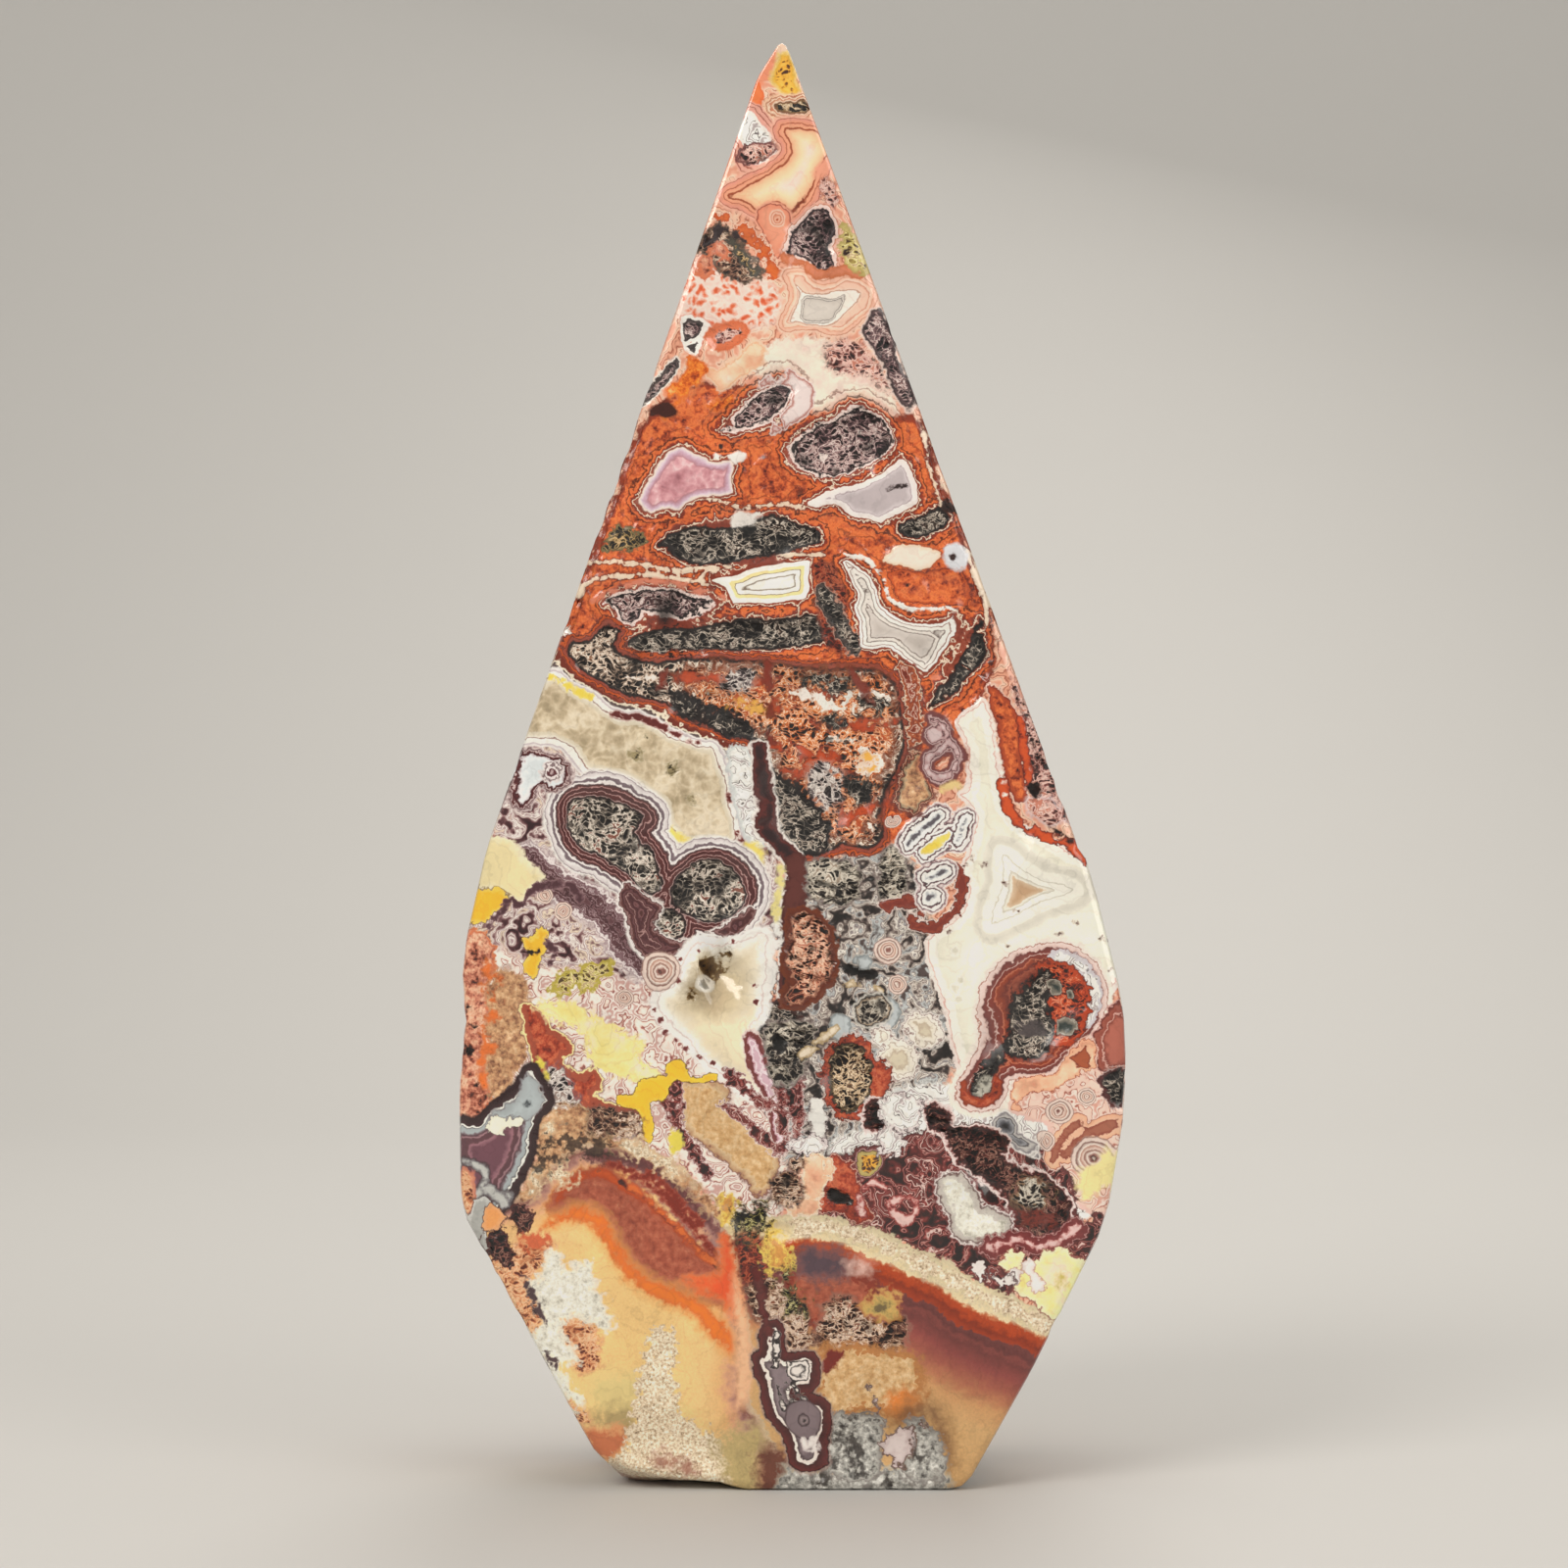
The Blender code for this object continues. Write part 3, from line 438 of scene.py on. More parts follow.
layer("darkLava", [
    "area 673,556 680,549 690,543 700,539 712,536 728,536 745,537 760,534 772,530 785,526 800,528 815,535 "
    "828,540 837,545 835,552 825,556 812,558 800,562 780,565 765,568 745,571 725,573 712,573 700,570 "
    "690,565 680,560",
    "area 645,660 650,652 660,645 672,643 685,642 700,641 715,640 728,639 742,636 755,634 770,633 785,632 "
    "800,632 815,630 826,628 834,632 838,640 842,652 835,656 820,658 800,660 780,660 765,661 745,662 "
    "725,661 710,664 700,662 690,666 675,668 660,666 650,665",
    "area 948,722 955,705 965,690 975,675 985,658 993,645 998,632 1002,640 1000,655 1002,668 992,678 "
    "982,690 972,702 960,714 950,722",
    "area 918,536 930,532 945,525 958,520 967,528 960,538 948,544 930,545 920,542"],
    "-0.5 4A4240 | 0.05 231C1C | 0.15 5A2A1C | 0.25 5A2A1C 0", paint="slate", porous=1.0, wobble=0.9)
layer("patchWhite", ["area 742,535 748,528 752,522 765,523 780,524 788,525 780,530 768,533 755,535",
                     "area 744,464 758,464 758,471 746,472", "area 728,464 733,463 734,468 728,469",
                     "area 650,665 668,663 686,668 684,672 664,671"],
    "-0.1 F0EAE4 | 0.2 F0EAE4 0")
layer("oliveClast", ["area 615,557 620,548 628,538 635,538 645,543 655,549 660,553 650,557 640,560 628,561"],
    "-0.3 9C9068 | 0 7A6A4A | 0.2 7A6A4A 0", paint="olivePores", porous=0.6, wobble=2.0)
layer("salmonBand", ["line 2.6 604,614 625,602 645,597 665,594 700,598 738,611"],
    "-0.15 D88A70 | 0.15 D88A70 0")
layer("bandedSlab", [
    "sharp 725,592 735,589 755,586 768,580 785,577 805,575 820,573 828,572 826,580 824,590 826,600 822,612 "
    "805,614 785,615 765,615 748,617 744,608 740,598 733,595"],
    "-1.7 F5F2EA | -1.55 8A7A6A | -1.45 F5F2EA | -1.05 F5F2EA | -0.97 7A675C | -0.9 F2E2A8 | -0.6 F2E2A8 | "
    "-0.5 F6F3EC | 0 F3EEE6 | 0.06 9A5A4A | 0.14 9A5A4A 0", wobble=0.25)
layer("spottedStrip", ["area 830,575 850,575 862,600 866,640 862,662 846,660 836,636 832,604"],
    "-0.3 8E4634 | 0.3 8E4634 0", paint="rustSpots", porous=0.3, wobble=1.5)
layer("greyDiagonal", ["area 836,600 846,604 858,622 868,640 880,662 872,668 862,656 848,634 836,614"],
    "-0.2 6A605C | 0.1 3A2E2C | 0.25 C8A898 0.7 | 0.4 C8A898 0", paint="slate", porous=0.8, wobble=1.6)
layer("whiteLens", [
    "area 823,516 832,509 842,504 855,500 868,497 880,492 890,487 900,484 908,477 915,470 920,468 927,474 "
    "930,484 933,494 936,505 937,513 930,519 920,523 912,526 905,530 897,533 888,531 878,529 868,527 "
    "862,520 855,516 845,515 835,518"],
    "-1.2 C5BABC | -0.8 D8CED0 | -0.7 B8A8AC | -0.6 EFE8E6 | 0 F0E6E0 | 0.06 9A5A4A | 0.16 9A5A4A 0",
    wobble=0.5)
layer("lensSlit", ["line 1.6 908,500 918,496 925,495"], "-0.05 3A2A2A | 0.15 8A7A7A 0")
layer("footedAgate", [
    "area 860,573 868,573 880,582 888,588 893,597 897,608 900,618 907,626 916,633 930,637 945,638 958,637 "
    "970,628 977,626 972,638 964,652 955,667 948,680 942,686 934,680 924,673 913,665 903,661 890,663 "
    "880,661 878,648 876,632 873,620 877,606 871,596 867,586"],
    "-2.0 C8BFB8 | -1.3 DAD2CC | -1.2 7A6A62 | -1.1 E6DFD8 | -0.85 E6DFD8 | -0.75 6B5A55 | -0.66 EFE9E2 | "
    "-0.35 F0EAE4 | -0.28 8A5A4E | -0.2 F3EDE8 | 0 F3EDE8 | 0.06 8A4A3A | 0.16 8A4A3A 0", wobble=0.4)
layer("agateLine", ["line 1.6 862,566 880,568 895,580 903,595 908,608 918,618 935,622 962,621 980,622"],
    "-0.05 F3EDE6 | 0.12 F3EDE6 0")
layer("creamPatch", [
    "area 903,572 908,562 915,557 928,556 940,557 952,562 960,566 955,572 945,577 935,579 920,576 908,575"],
    "-0.4 F3E6D8 | 0 F0D8C0 | 0.12 B8603A | 0.3 B8603A 0", wobble=0.8)
layer("orangeBlock", [
    "sharp 905,585 920,582 945,583 965,582 980,583 985,592 988,603 985,615 970,618 950,616 930,615 918,612 "
    "912,600"],
    "-0.3 D2662F | 0 C05A2C | 0.08 7A3020 | 0.2 7A3020 0", paint="rust", grain=0.3, rugged=1.0)
layer("edgeBlueWhite", ["area 965,556 980,556 988,568 984,580 968,578 962,566"],
    "-0.2 DCDDE2 | 0.2 DCDDE2 0")
layer("smallPits", ["spot 925,597 2.6", "spot 972,568 2.4", "area 962,514 972,513 975,521 965,523",
                    "spot 735,455 3", "spot 862,258 4"],
    "-0.1 3A1A14 | 0.15 5A2A20 0", porous=0.8)

# the great porous clast and the quartz pocket
bigOutline = (
    "area 580,665 585,657 598,654 610,650 617,640 630,640 635,648 632,658 642,665 660,672 680,675 700,672 "
    "730,672 760,675 785,678 810,680 840,682 870,681 895,685 912,697 918,715 920,735 922,755 915,780 905,795 "
    "900,810 895,830 900,850 895,862 880,865 860,862 840,870 820,872 805,868 795,858 785,845 782,830 790,800 "
    "785,775 778,756 750,748 740,745 730,740 712,732 695,722 682,717 672,713 655,710 635,704 620,697 605,688 "
    "592,680 585,670")
layer("pocketRim", [
    "line 0 552,640 568,660 578,678 600,695 620,706 640,713 660,719 685,728 700,737 720,747 740,757 "
    "765,766 778,768"],
    "0 7A3424 | 0.5 7A3424 | 0.6 E8DCC8 | 0.75 E8DCC8 | 0.85 5A4A4A | 1.2 7A6866 | 1.3 4A3A3C | "
    "1.4 F0ECE4 | 1.7 F0ECE4 | 1.78 A86A60 | 1.86 F0ECE4 | 2.3 EFEAE2 | 2.5 EFEAE2 0", wobble=1.2)
layer("bigClastRim", [bigOutline],
    "0 4A2420 | 0.12 A0523F | 0.55 A0523F | 0.62 4A2A26 | 0.7 B4522A | 0.9 C8622E | 0.98 3A1A14 | "
    "1.06 A0523F | 1.2 A0523F 0", wobble=1.2)
layer("bigClast", [bigOutline],
    "-0.5 5A4A42 | 0.05 2A2222 | 0.15 5A2A20 | 0.3 5A2A20 0", paint="slateCream", porous=1.0, wobble=0.8)
layer("bigClastRust", [
    "area 700,684 740,680 790,682 840,684 872,684 894,690 908,704 912,740 905,780 892,806 888,850 872,858 "
    "850,854 820,860 800,846 796,810 796,780 784,752 760,738 730,726 708,706"],
    "-1.6 B5652F | 0.2 8A4A2E 0.8 | 0.9 7A4230 0", paint="rustPores", paintEdge=-0.2, porous=0.8, wobble=4.0)
layer("bigRed", ["line 1.6 784,722 820,730 860,734 915,738", "line 1.4 786,760 820,765 852,768",
                 "line 2.4 796,790 838,786 862,796 880,792", "line 2.2 858,838 880,828 914,818",
                 "line 2 800,822 815,813 852,816", "line 1.8 700,690 760,694 800,700 860,706"],
    "-0.2 C4562C | 0.1 B04A26 | 0.3 8A3A22 0.7 | 0.6 8A3A22 0", rugged=0.8, wobble=2.4)
layer("bigPink", [
    "area 826,780 848,776 858,800 852,822 834,824 824,804", "area 742,682 770,684 768,704 742,706"],
    "-0.5 C09A8A | 0.5 B08878 0", paint="chaos", porous=0.8, wobble=3.0)
# painted shade: near-black slate fill in the hollow on the big clast's left and in its pitted lower part
layer("bigBlack", [
    "area 692,708 702,707 715,712 722,720 730,724 742,728 752,730 765,742 766,750 750,748 735,742 720,735 "
    "708,728 695,722",
    "area 786,794 800,796 820,812 838,836 842,860 826,870 806,866 792,850 784,826"],
    "-0.3 1E1A1A | 0.3 2A2020 | 0.7 2A2020 0", paint="slate", porous=1.0, wobble=2.5)
layer("bigShade", [
    "area 818,690 850,687 872,694 866,704 840,702 820,699", "area 870,712 898,708 908,718 900,726 878,723",
    "area 860,798 880,792 888,806 878,820 864,814", "area 778,740 794,744 790,754 778,750",
    "area 842,724 864,728 860,738 840,736"],
    "-0.2 3E3834 | 0.4 4A4038 0", paint="slate", porous=1.0, wobble=3.0)
layer("bigVeins", [
    "line 0.8 822,706 850,710 878,706 908,712", "line 0.8 836,716 862,724 890,722",
    "line 0.9 860,752 884,760 902,770", "line 0.8 868,774 890,768 900,780 886,788 872,784 868,774",
    "line 0.8 798,702 820,712 830,724", "line 0.7 820,744 840,750 862,748",
    "line 0.8 700,700 722,706 740,716", "line 0.8 650,684 672,690 690,698", "line 0.8 880,840 892,846"],
    "-0.02 F3EAE2 | 0.12 EBD8C8 0.8 | 0.22 D8A880 0", wobble=2.2)
layer("bigGold", ["area 872,774 886,770 894,778 884,784", "area 748,712 772,716 790,730 770,726"],
    "-0.2 EDB85A | 0.5 D89848 0", wobble=3.0)
layer("clastUprights", [
    "line 2 684,672 682,716", "line 2.6 783,680 784,720 790,756", "line 2 868,684 890,720"],
    "-0.1 8A3A28 | 0.2 7A3424 0.8 | 0.4 7A3424 0", wobble=1.5)
layer("stripedEdge", ["line 9 922,684 930,704 934,730 930,756"],
    "-1.3 7A3424 | -1.0 A0523F | -0.85 E0C0B0 | -0.7 8A3B25 | -0.4 C0704C | -0.3 EBD9C4 | -0.15 6A2A20 | "
    "0.1 A0523F | 0.3 A0523F 0", wobble=2.0)
layer("yellowTrace", ["line 3 568,692 580,700 600,711", "line 2 560,700 566,690"],
    "-0.2 F0D860 | 0.2 F0D860 0", wobble=1.5)
layer("quartzPocket", [
    "area 533,748 543,720 555,700 566,690 578,703 592,710 605,717 618,728 632,735 650,737 668,742 685,750 "
    "700,757 715,764 727,765 732,775 736,790 739,805 742,825 747,842 750,855 745,858 730,858 715,858 "
    "702,858 690,848 682,835 680,820 672,812 660,805 645,795 630,790 610,787 598,783 590,772 578,758 "
    "565,753 550,752"],
    "-4.5 C4B8A0 | -2.5 CEC2A8 | -1.0 D8CDB6 | -0.3 E0D6C2 | 0 ECE6DA | 0.1 8A5A50 | 0.2 F3F0E8 | "
    "0.7 F0ECE6 | 0.8 C8BCC0 | 1.1 EFEAE6 | 1.3 EFEAE6 0", paint="quartz", paintEdge=-0.5, wobble=0.6)
layer("yellowTop", ["line 2 570,694 584,702 602,712", "line 1.4 560,689 566,692"],
    "-0.15 F0D860 | 0.1 F0DC7C 0.9 | 0.3 F3ECC0 0", wobble=1.2)
layer("pocketBeads", [
    "line 1.6 625,729 630,730", "line 2 636,732 642,733", "line 1.6 648,733 652,734",
    "line 2 660,735 668,737", "line 2 674,739 682,742", "line 1.8 690,747 694,749", "spot 704,756 2",
    "spot 712,759 1.6", "line 1.4 743,812 744,818", "spot 745,784 1.6", "spot 752,850 2", "spot 757,858 2",
    "spot 761,866 1.8", "spot 762,880 1.6", "spot 758,894 1.6"],
    "-0.1 6A2A28 | 0.05 7A3A34 | 0.18 C8A09A 0.6 | 0.3 C8A09A 0", wobble=0.8)
layer("porousStrip", ["area 744,764 760,766 768,790 776,830 780,856 770,866 756,844 748,810"],
    "-0.3 E0E6E2 | 0.2 D0D0D0 | 0.4 D0D0D0 0", paint="whiteLace", porous=0.3, wobble=1.5)
layer("yellowBottom", ["line 4 686,846 700,858 730,866 768,870", "area 758,862 776,864 778,884 764,886"],
    "-0.3 F0DC7C | 0.3 F3E8A8 0", wobble=1.5)
layer("pocketPits", ["spot 648,770 5", "spot 687,785 5", "spot 706,815 4", "spot 660,752 3"],
    "-0.2 A89A78 | 0.3 C4BAA2 0", porous=0.9, grain=0.8, wobble=2.0)

# ringed lumps, seams and the lower pocket
layer("plumBands", ["line 0 540,880 556,894 576,908 596,918 612,930 626,946 640,966 654,980"],
    "0 6A484C | 0.2 8A6A6E | 0.3 4E3034 | 0.5 5E3C40 | 0.6 A88C90 | 0.72 5A383C | 1.0 6E4C50 | "
    "1.1 C4B0B2 | 1.2 7A585E | 1.5 8E7478 | 1.6 D8CCCC | 1.8 EBE2E0 | 2.0 A89094 | 2.2 D8CCCA 0.8 | "
    "2.6 D8CCCA 0", wobble=2.2)
layer("ringedLumps", [
    "area 580,835 583,822 592,815 605,812 618,813 632,817 645,825 655,830 658,838 652,848 655,858 663,865 "
    "668,875 672,890 675,905 665,912 655,905 645,895 635,885 625,880 615,872 600,868 590,862 585,850",
    "area 685,914 688,903 695,893 705,885 718,880 735,880 748,888 757,897 761,910 757,922 748,933 735,938 "
    "722,938 708,935 697,930 689,924",
    "area 663,940 668,930 684,930 698,940 694,954 680,962 668,956"],
    "-0.1 3A2422 | 0.12 2A1818 | 0.2 C9A8A4 | 0.28 5A3030 | 0.55 6A3A38 | 0.62 D0A8A4 | 0.7 5A3030 | "
    "1.05 5A3030 | 1.12 C89C98 | 1.2 6A3A38 | 1.5 5E4A4C | 1.58 E6DCDA | 1.75 EFEAE8 | 1.85 7A6A70 | "
    "2.1 8A7A80 | 2.2 EFEAE8 | 2.6 D8D0D0 | 2.7 9A8A8E | 2.8 F0ECE8 | 3.2 F0ECE8 0",
    paint="lumpCore", paintEdge=0.0, porous=0.9, wobble=0.7)
layer("maroonPool", [
    "area 640,900 662,916 676,926 668,946 690,962 740,944 768,926 772,934 752,954 712,958 690,972 "
    "664,978 648,966 640,940 630,918"],
    "-1.9 5F3A38 | -1.7 8A6062 | -1.5 543034 | -1.2 6A4446 | -1.1 B89490 | -1.0 5A3434 | -0.7 7A5254 | "
    "-0.6 4E2C30 | -0.3 6A403E | -0.2 A07E7C | 0 5A3032 | 0.1 EDE6E2 | 0.4 EDE6E2 0", wobble=1.2)
layer("nodeBlue", [
    "area 534,776 546,771 560,774 572,782 574,796 564,802 556,794 548,798 540,812 532,820 527,812 531,796"],
    "-0.7 DCE2E4 | -0.2 E8ECEE | 0.02 C8B8BA | 0.12 4A2226 | 0.42 6A3436 | 0.5 D8C4C2 | 0.62 6A4448 | "
    "0.9 D8C8C6 | 1.1 D8C8C6 0", wobble=1.4)
layer("smallRing", ["spot 563,787 7"],
    "-1.5 2E1C20 | -1.1 5A3036 | -0.9 8A5458 | -0.8 E0CCCC | -0.6 6A3A40 | -0.3 6A3A40 | -0.2 E8DCDC | "
    "0 EDE4E2 | 0.1 6A4A50 | 0.3 E8DEDC | 0.5 E8DEDC 0", wobble=1.5)
layer("darkSeam", ["line 5 774,764 779,800 783,825 779,842 791,858 810,878 811,900 805,940 804,1000 802,1040 "
                   "790,1062"],
    "-0.45 3A2426 | -0.1 4A2A2A | 0.1 6A3430 | 0.35 5A2E2C | 0.45 C8B8B4 | 0.6 EDE8E2 | 0.9 EDE8E2 0")
layer("knot", ["area 766,1046 776,1028 800,1024 812,1034 816,1048 800,1056 784,1064 770,1060"],
    "-0.3 2F1B18 | 0.3 4A2724 | 0.6 4A2724 0", paint="slate", porous=0.8, wobble=2.0)
layer("maroonFall", ["area 806,880 822,880 821,916 812,930 808,960 802,990 801,940 804,905"],
    "-0.3 6B3A34 | 0.3 5A2E2A | 0.5 5A2E2A 0", wobble=2.0)
layer("whiteUprights", ["area 780,980 788,978 790,1000 786,1022 778,1027 779,1004",
                        "area 791,940 798,944 798,968 792,966", "area 782,1129 792,1134 792,1152 784,1150",
                        "area 826,1128 838,1124 840,1158 830,1160"],
    "-0.2 EDEBE6 | 0.05 D0C8C4 | 0.15 5A4A4C | 0.3 5A4A4C 0", wobble=2.0)
layer("yellowFall", ["line 3 797,884 796,905 792,936"], "-0.2 E8DC9A | 0.2 F0ECC8 0", wobble=1.5)
layer("lowerPocket", [
    "area 714,967 736,970 759,968 778,958 775,980 773,1006 771,1033 763,1043 759,1068 770,1100 779,1120 "
    "750,1100 728,1084 711,1064 705,1056 698,1048 681,1033 678,1020 696,1006 701,985"],
    "-3.8 CDBB9C | -2.6 D6C7A8 | -1.4 E3D6BC | -0.5 EFE6D2 | 0 F6F2E8 | 0.5 F6F3EC | 0.62 E0D0CC | "
    "0.8 F3F0EA | 1.4 F0ECE8 | 1.8 F0ECE8 0", wobble=0.9)
layer("pocketCream", ["area 706,1040 740,1036 766,1040 766,1070 770,1100 748,1090 720,1068"],
    "-1.2 F3E6C8 | 0.6 F0E2C4 0", wobble=3.0)
layer("pocketShade", ["area 704,990 716,972 740,972 738,1000 726,1022 700,1024 696,1006"],
    "-1.6 9C8B70 0.9 | 0.8 B5A892 0", wobble=2.5)
# painted shade: dark brown inside the druse hole and a small pit beside it, darkest inward
layer("druseHole", ["area 714,990 716,978 728,975 742,974 742,984 736,992 730,998 724,992",
                    "area 702,1016 706,1012 710,1015 706,1020"],
    "-0.3 5E4420 | 0.05 7A6038 | 0.3 A08A5C 0", porous=0.9, grain=0.8, rugged=2.6, wobble=1.5)
layer("pocketOrb", ["spot 721,1002 11.5"],
    "-0.7 8F8A80 | -0.5 A8A298 | -0.4 DCD6CC | -0.1 CFC8BA | 0.1 CFC8BA 0", wobble=0.4)
layer("lowerBeads", [
    "spot 692,1001 2", "spot 693,980 2.2", "spot 712,969 2", "spot 726,963 1.6", "spot 748,962 1.8",
    "spot 770,1006 1.8", "spot 772,1022 1.6", "spot 674,1040 2", "spot 680,1052 1.8", "spot 691,1061 2",
    "spot 700,1070 1.6", "spot 713,1079 2", "spot 727,1085 1.6", "spot 739,1094 2", "spot 752,1104 1.8",
    "spot 766,1112 2", "spot 668,1030 1.6"],
    "-0.1 6A3030 | 0.05 8A4A48 | 0.2 D8BCB6 0", wobble=0.9)
layer("pinkFlow", ["area 764,1062 772,1064 780,1090 790,1104 798,1130 800,1170 790,1168 788,1130 782,1116 "
                   "772,1096"],
    "-0.4 D9B9C4 | -0.25 F0E2E6 | 0 C898A4 | 0.1 7A3F3F | 0.5 8A4A48 | 0.65 E0CCC8 | 0.9 E0CCC8 0",
    wobble=1.2)
layer("tanPiece", [
    "area 695,1105 738,1109 743,1130 757,1143 768,1157 782,1166 790,1180 791,1195 784,1215 770,1218 765,1205 "
    "753,1195 743,1184 728,1174 709,1161 699,1147 697,1128"],
    "-1.8 E3CCA8 | -0.4 D9BE98 | 0.1 C09A78 | 0.25 8A5A50 | 0.5 E8D8D0 | 0.8 E8D8D0 0", paint="tanCloud",
    paintEdge=-0.5, grain=0.5, wobble=1.8)
layer("redVeins", [
    "line 3.4 744,1100 760,1112 776,1126 786,1132", "line 2.6 741,1128 757,1142 774,1158 790,1172",
    "line 4 686,1110 690,1136 698,1160 712,1184 720,1198", "line 3 795,1090 797,1130 800,1172",
    "line 2.4 812,1100 814,1140 812,1160"],
    "-0.2 8A3A34 | 0 7A3230 | 0.12 D0A8A4 | 0.22 7A4240 | 0.32 E8D8D4 | 0.5 E8D8D4 0", paint="maroonSwirl",
    paintEdge=0.0, wobble=2.6)

# centre chaos
layer("pinkPores", [
    "area 817,933 834,937 844,952 849,975 845,995 836,1010 825,1020 812,1023 803,1023 803,1014 815,1002 "
    "805,988 803,975 807,960 806,944"],
    "-0.3 DDA88C | 0.1 6A3222 | 0.8 7A3E22 | 1.0 7A3E22 0", paint="pinkPores", porous=0.9, wobble=1.8)
layer("greyPorous", ["area 824,880 850,878 876,884 878,908 866,922 842,922 826,914",
                     "area 900,872 920,868 925,890 922,922 906,922 898,900",
                     "area 784,1048 830,1046 828,1070 818,1084 812,1102 790,1104 784,1080"],
    "-0.3 C4BFB2 | 0.1 8A7C78 | 0.4 8A7C78 0", paint="greyPores", porous=0.9, wobble=2.0)
layer("blackHoles", ["area 870,991 884,989 893,994 888,999 874,999", "area 861,987 868,986 867,993 861,993",
                     "line 3 868,1020 884,1014 900,1016 908,1024", "area 788,1060 798,1058 800,1070 792,1074",
                     "spot 850,1112 3"],
    "-0.2 0E0A0A | 0.1 1E1614 | 0.35 6A5A54 0", porous=0.9, rugged=2.2)
layer("blueGreyBits", [
    "area 848,1040 862,1036 868,1052 862,1066 850,1060", "area 872,978 886,976 888,986 876,988",
    "line 4 906,1020 914,1034 906,1048 894,1054"],
    "-0.2 C4CACC | 0.1 8A9092 | 0.3 E6E4DE 0")
layer("creamStreak", ["line 3 818,1078 834,1066 852,1050", "line 2.6 862,1006 880,1000 896,1012"],
    "-0.2 F0E2CC | 0.1 B8A078 | 0.25 B8A078 0")
layer("midPorous", ["area 873,1028 880,1018 896,1016 907,1028 904,1040 890,1045 878,1042"],
    "-0.2 C9B49C | 0.05 2A1E1C | 0.3 D0CCC4 | 0.6 D0CCC4 0", paint="greyPores", porous=1.0)
layer("palePools", [
    "spot 915,1081 20", "spot 900,1058 9", "area 926,1040 944,1036 960,1046 956,1066 934,1066"],
    "-1.6 DDD2BC | -1.2 C8B8A4 | -1.0 EBE4D4 | -0.6 EFE8DC | -0.45 B8A698 | -0.35 F0EADF | 0 EFE8E0 | "
    "0.1 8A6A66 | 0.22 EDE6E0 | 0.6 EDE6E0 0", wobble=2.0)
layer("clastRedBand", [
    "area 838,1090 846,1070 858,1062 870,1056 884,1066 892,1082 904,1088 908,1104 900,1120 886,1128 "
    "880,1140 866,1144 852,1138 842,1116"],
    "-0.9 B5593A | -0.1 A84A30 | 0.08 4A201C | 0.2 E0C8C0 0.8 | 0.4 E0C8C0 0", paint="redMix", wobble=2.2)
layer("midClast", ["area 846,1090 848,1074 860,1068 874,1068 884,1080 888,1100 884,1122 870,1134 856,1132 "
                   "848,1114"],
    "-0.3 8A7450 | 0.1 2A201A | 0.3 2A201A 0", paint="creamPores", porous=1.0, rugged=0.6, wobble=1.8)
layer("redRim", ["line 4 925,866 946,872 950,896 962,886 978,892 982,908 974,930 950,946 930,940 944,926 "
                 "924,920 906,926"],
    "-0.35 8A4034 | -0.1 A0503C | 0.08 5A2A28 | 0.16 EBD8D0 | 0.4 EBD8D0 0", wobble=1.8)
layer("fingers", [
    "line 6 927,862 942,846 957,833", "line 5 945,871 956,861 966,853", "line 5 978,858 984,836",
    "line 5 948,896 962,890", "spot 950,916 8"],
    "-0.55 6A646A | -0.4 C8CACC | -0.25 F0EEEA | 0.05 EFECE8 | 0.12 3A2A30 | 0.24 8A6A70 | 0.32 F0ECE8 | "
    "0.55 E8E2E0 | 0.62 4A3038 | 0.72 B89A9C | 0.9 EDE6E2 | 1.1 EDE6E2 0", wobble=0.9)
layer("fingerCores", ["line 2.6 946,870 966,853"], "-0.2 F0D860 | 0.1 E8D890 | 0.2 E8D890 0")
layer("tanLump", [
    "area 935,770 945,778 950,790 945,800 950,810 942,820 932,828 922,825 912,818 918,805 918,795 922,785 "
    "930,776"],
    "-0.4 C0AC90 | -0.05 9A8268 | 0.05 4A2A22 | 0.25 A05A40 | 0.32 D8B8A0 | 0.4 6A3028 | 0.7 7A3A2C 0.7 | "
    "1.0 8A4430 0", paint="tanBrown", paintEdge=-0.2, grain=0.6, porous=0.3, wobble=1.6)
layer("curls", [
    "line 0 950,734 962,742 966,756 958,766 948,772 946,786 956,794 970,792",
    "line 0 968,756 978,770 974,786", "spot 953,748 5"],
    "0 D8C4C4 | 0.2 C09C9C | 0.3 5A343A | 0.42 D0B4B2 | 0.6 7A4A4C | 0.9 8A5048 | 1.0 C8785A 0.5 | "
    "1.3 C8785A 0", wobble=0.9)
layer("yellowSwirl", ["line 3 962,806 972,802 980,804"], "-0.2 E8CF96 | 0.2 E8CF96 0")

# right side: channel, edge strip, porous clast
layer("channelTriangle", [
    "area 1023,872 1045,886 1065,896 1098,908 1070,920 1045,932 1018,944 1010,942 1018,915 1023,900"],
    "-1.9 C9A888 | -1.4 D8C0A4 | -1.25 F0ECE0 | -0.95 D0CABC | -0.9 F5F2E8 | -0.3 F5F2E8 | -0.22 CFCABC | "
    "-0.1 F3F0E6 | 0.9 F3F0E4 | 1.1 E2DED2 | 1.5 DEDACE | 2.0 E8E4D8 | 2.3 F3F0E2 0", wobble=0.5)
layer("channelSpecks", ["spot 990,875 2", "spot 1005,882 2", "spot 1026,900 2.2", "spot 1037,929 2.6",
                        "spot 1096,942 2.6", "spot 1080,955 2.6", "spot 1028,964 1.5", "spot 968,952 1.6",
                        "spot 984,884 1.6", "spot 1121,958 2", "spot 1134,990 1.6"],
    "-0.1 5A3A34 | 0.2 D8C0B4 0", wobble=1.5)
layer("paleOrbs", ["spot 975,1010 5", "spot 977,1021 4", "spot 980,1000 4", "spot 974,972 4"],
    "-0.3 E0DCCC | 0 F6F3E8 | 0.2 F3EFE0 0")
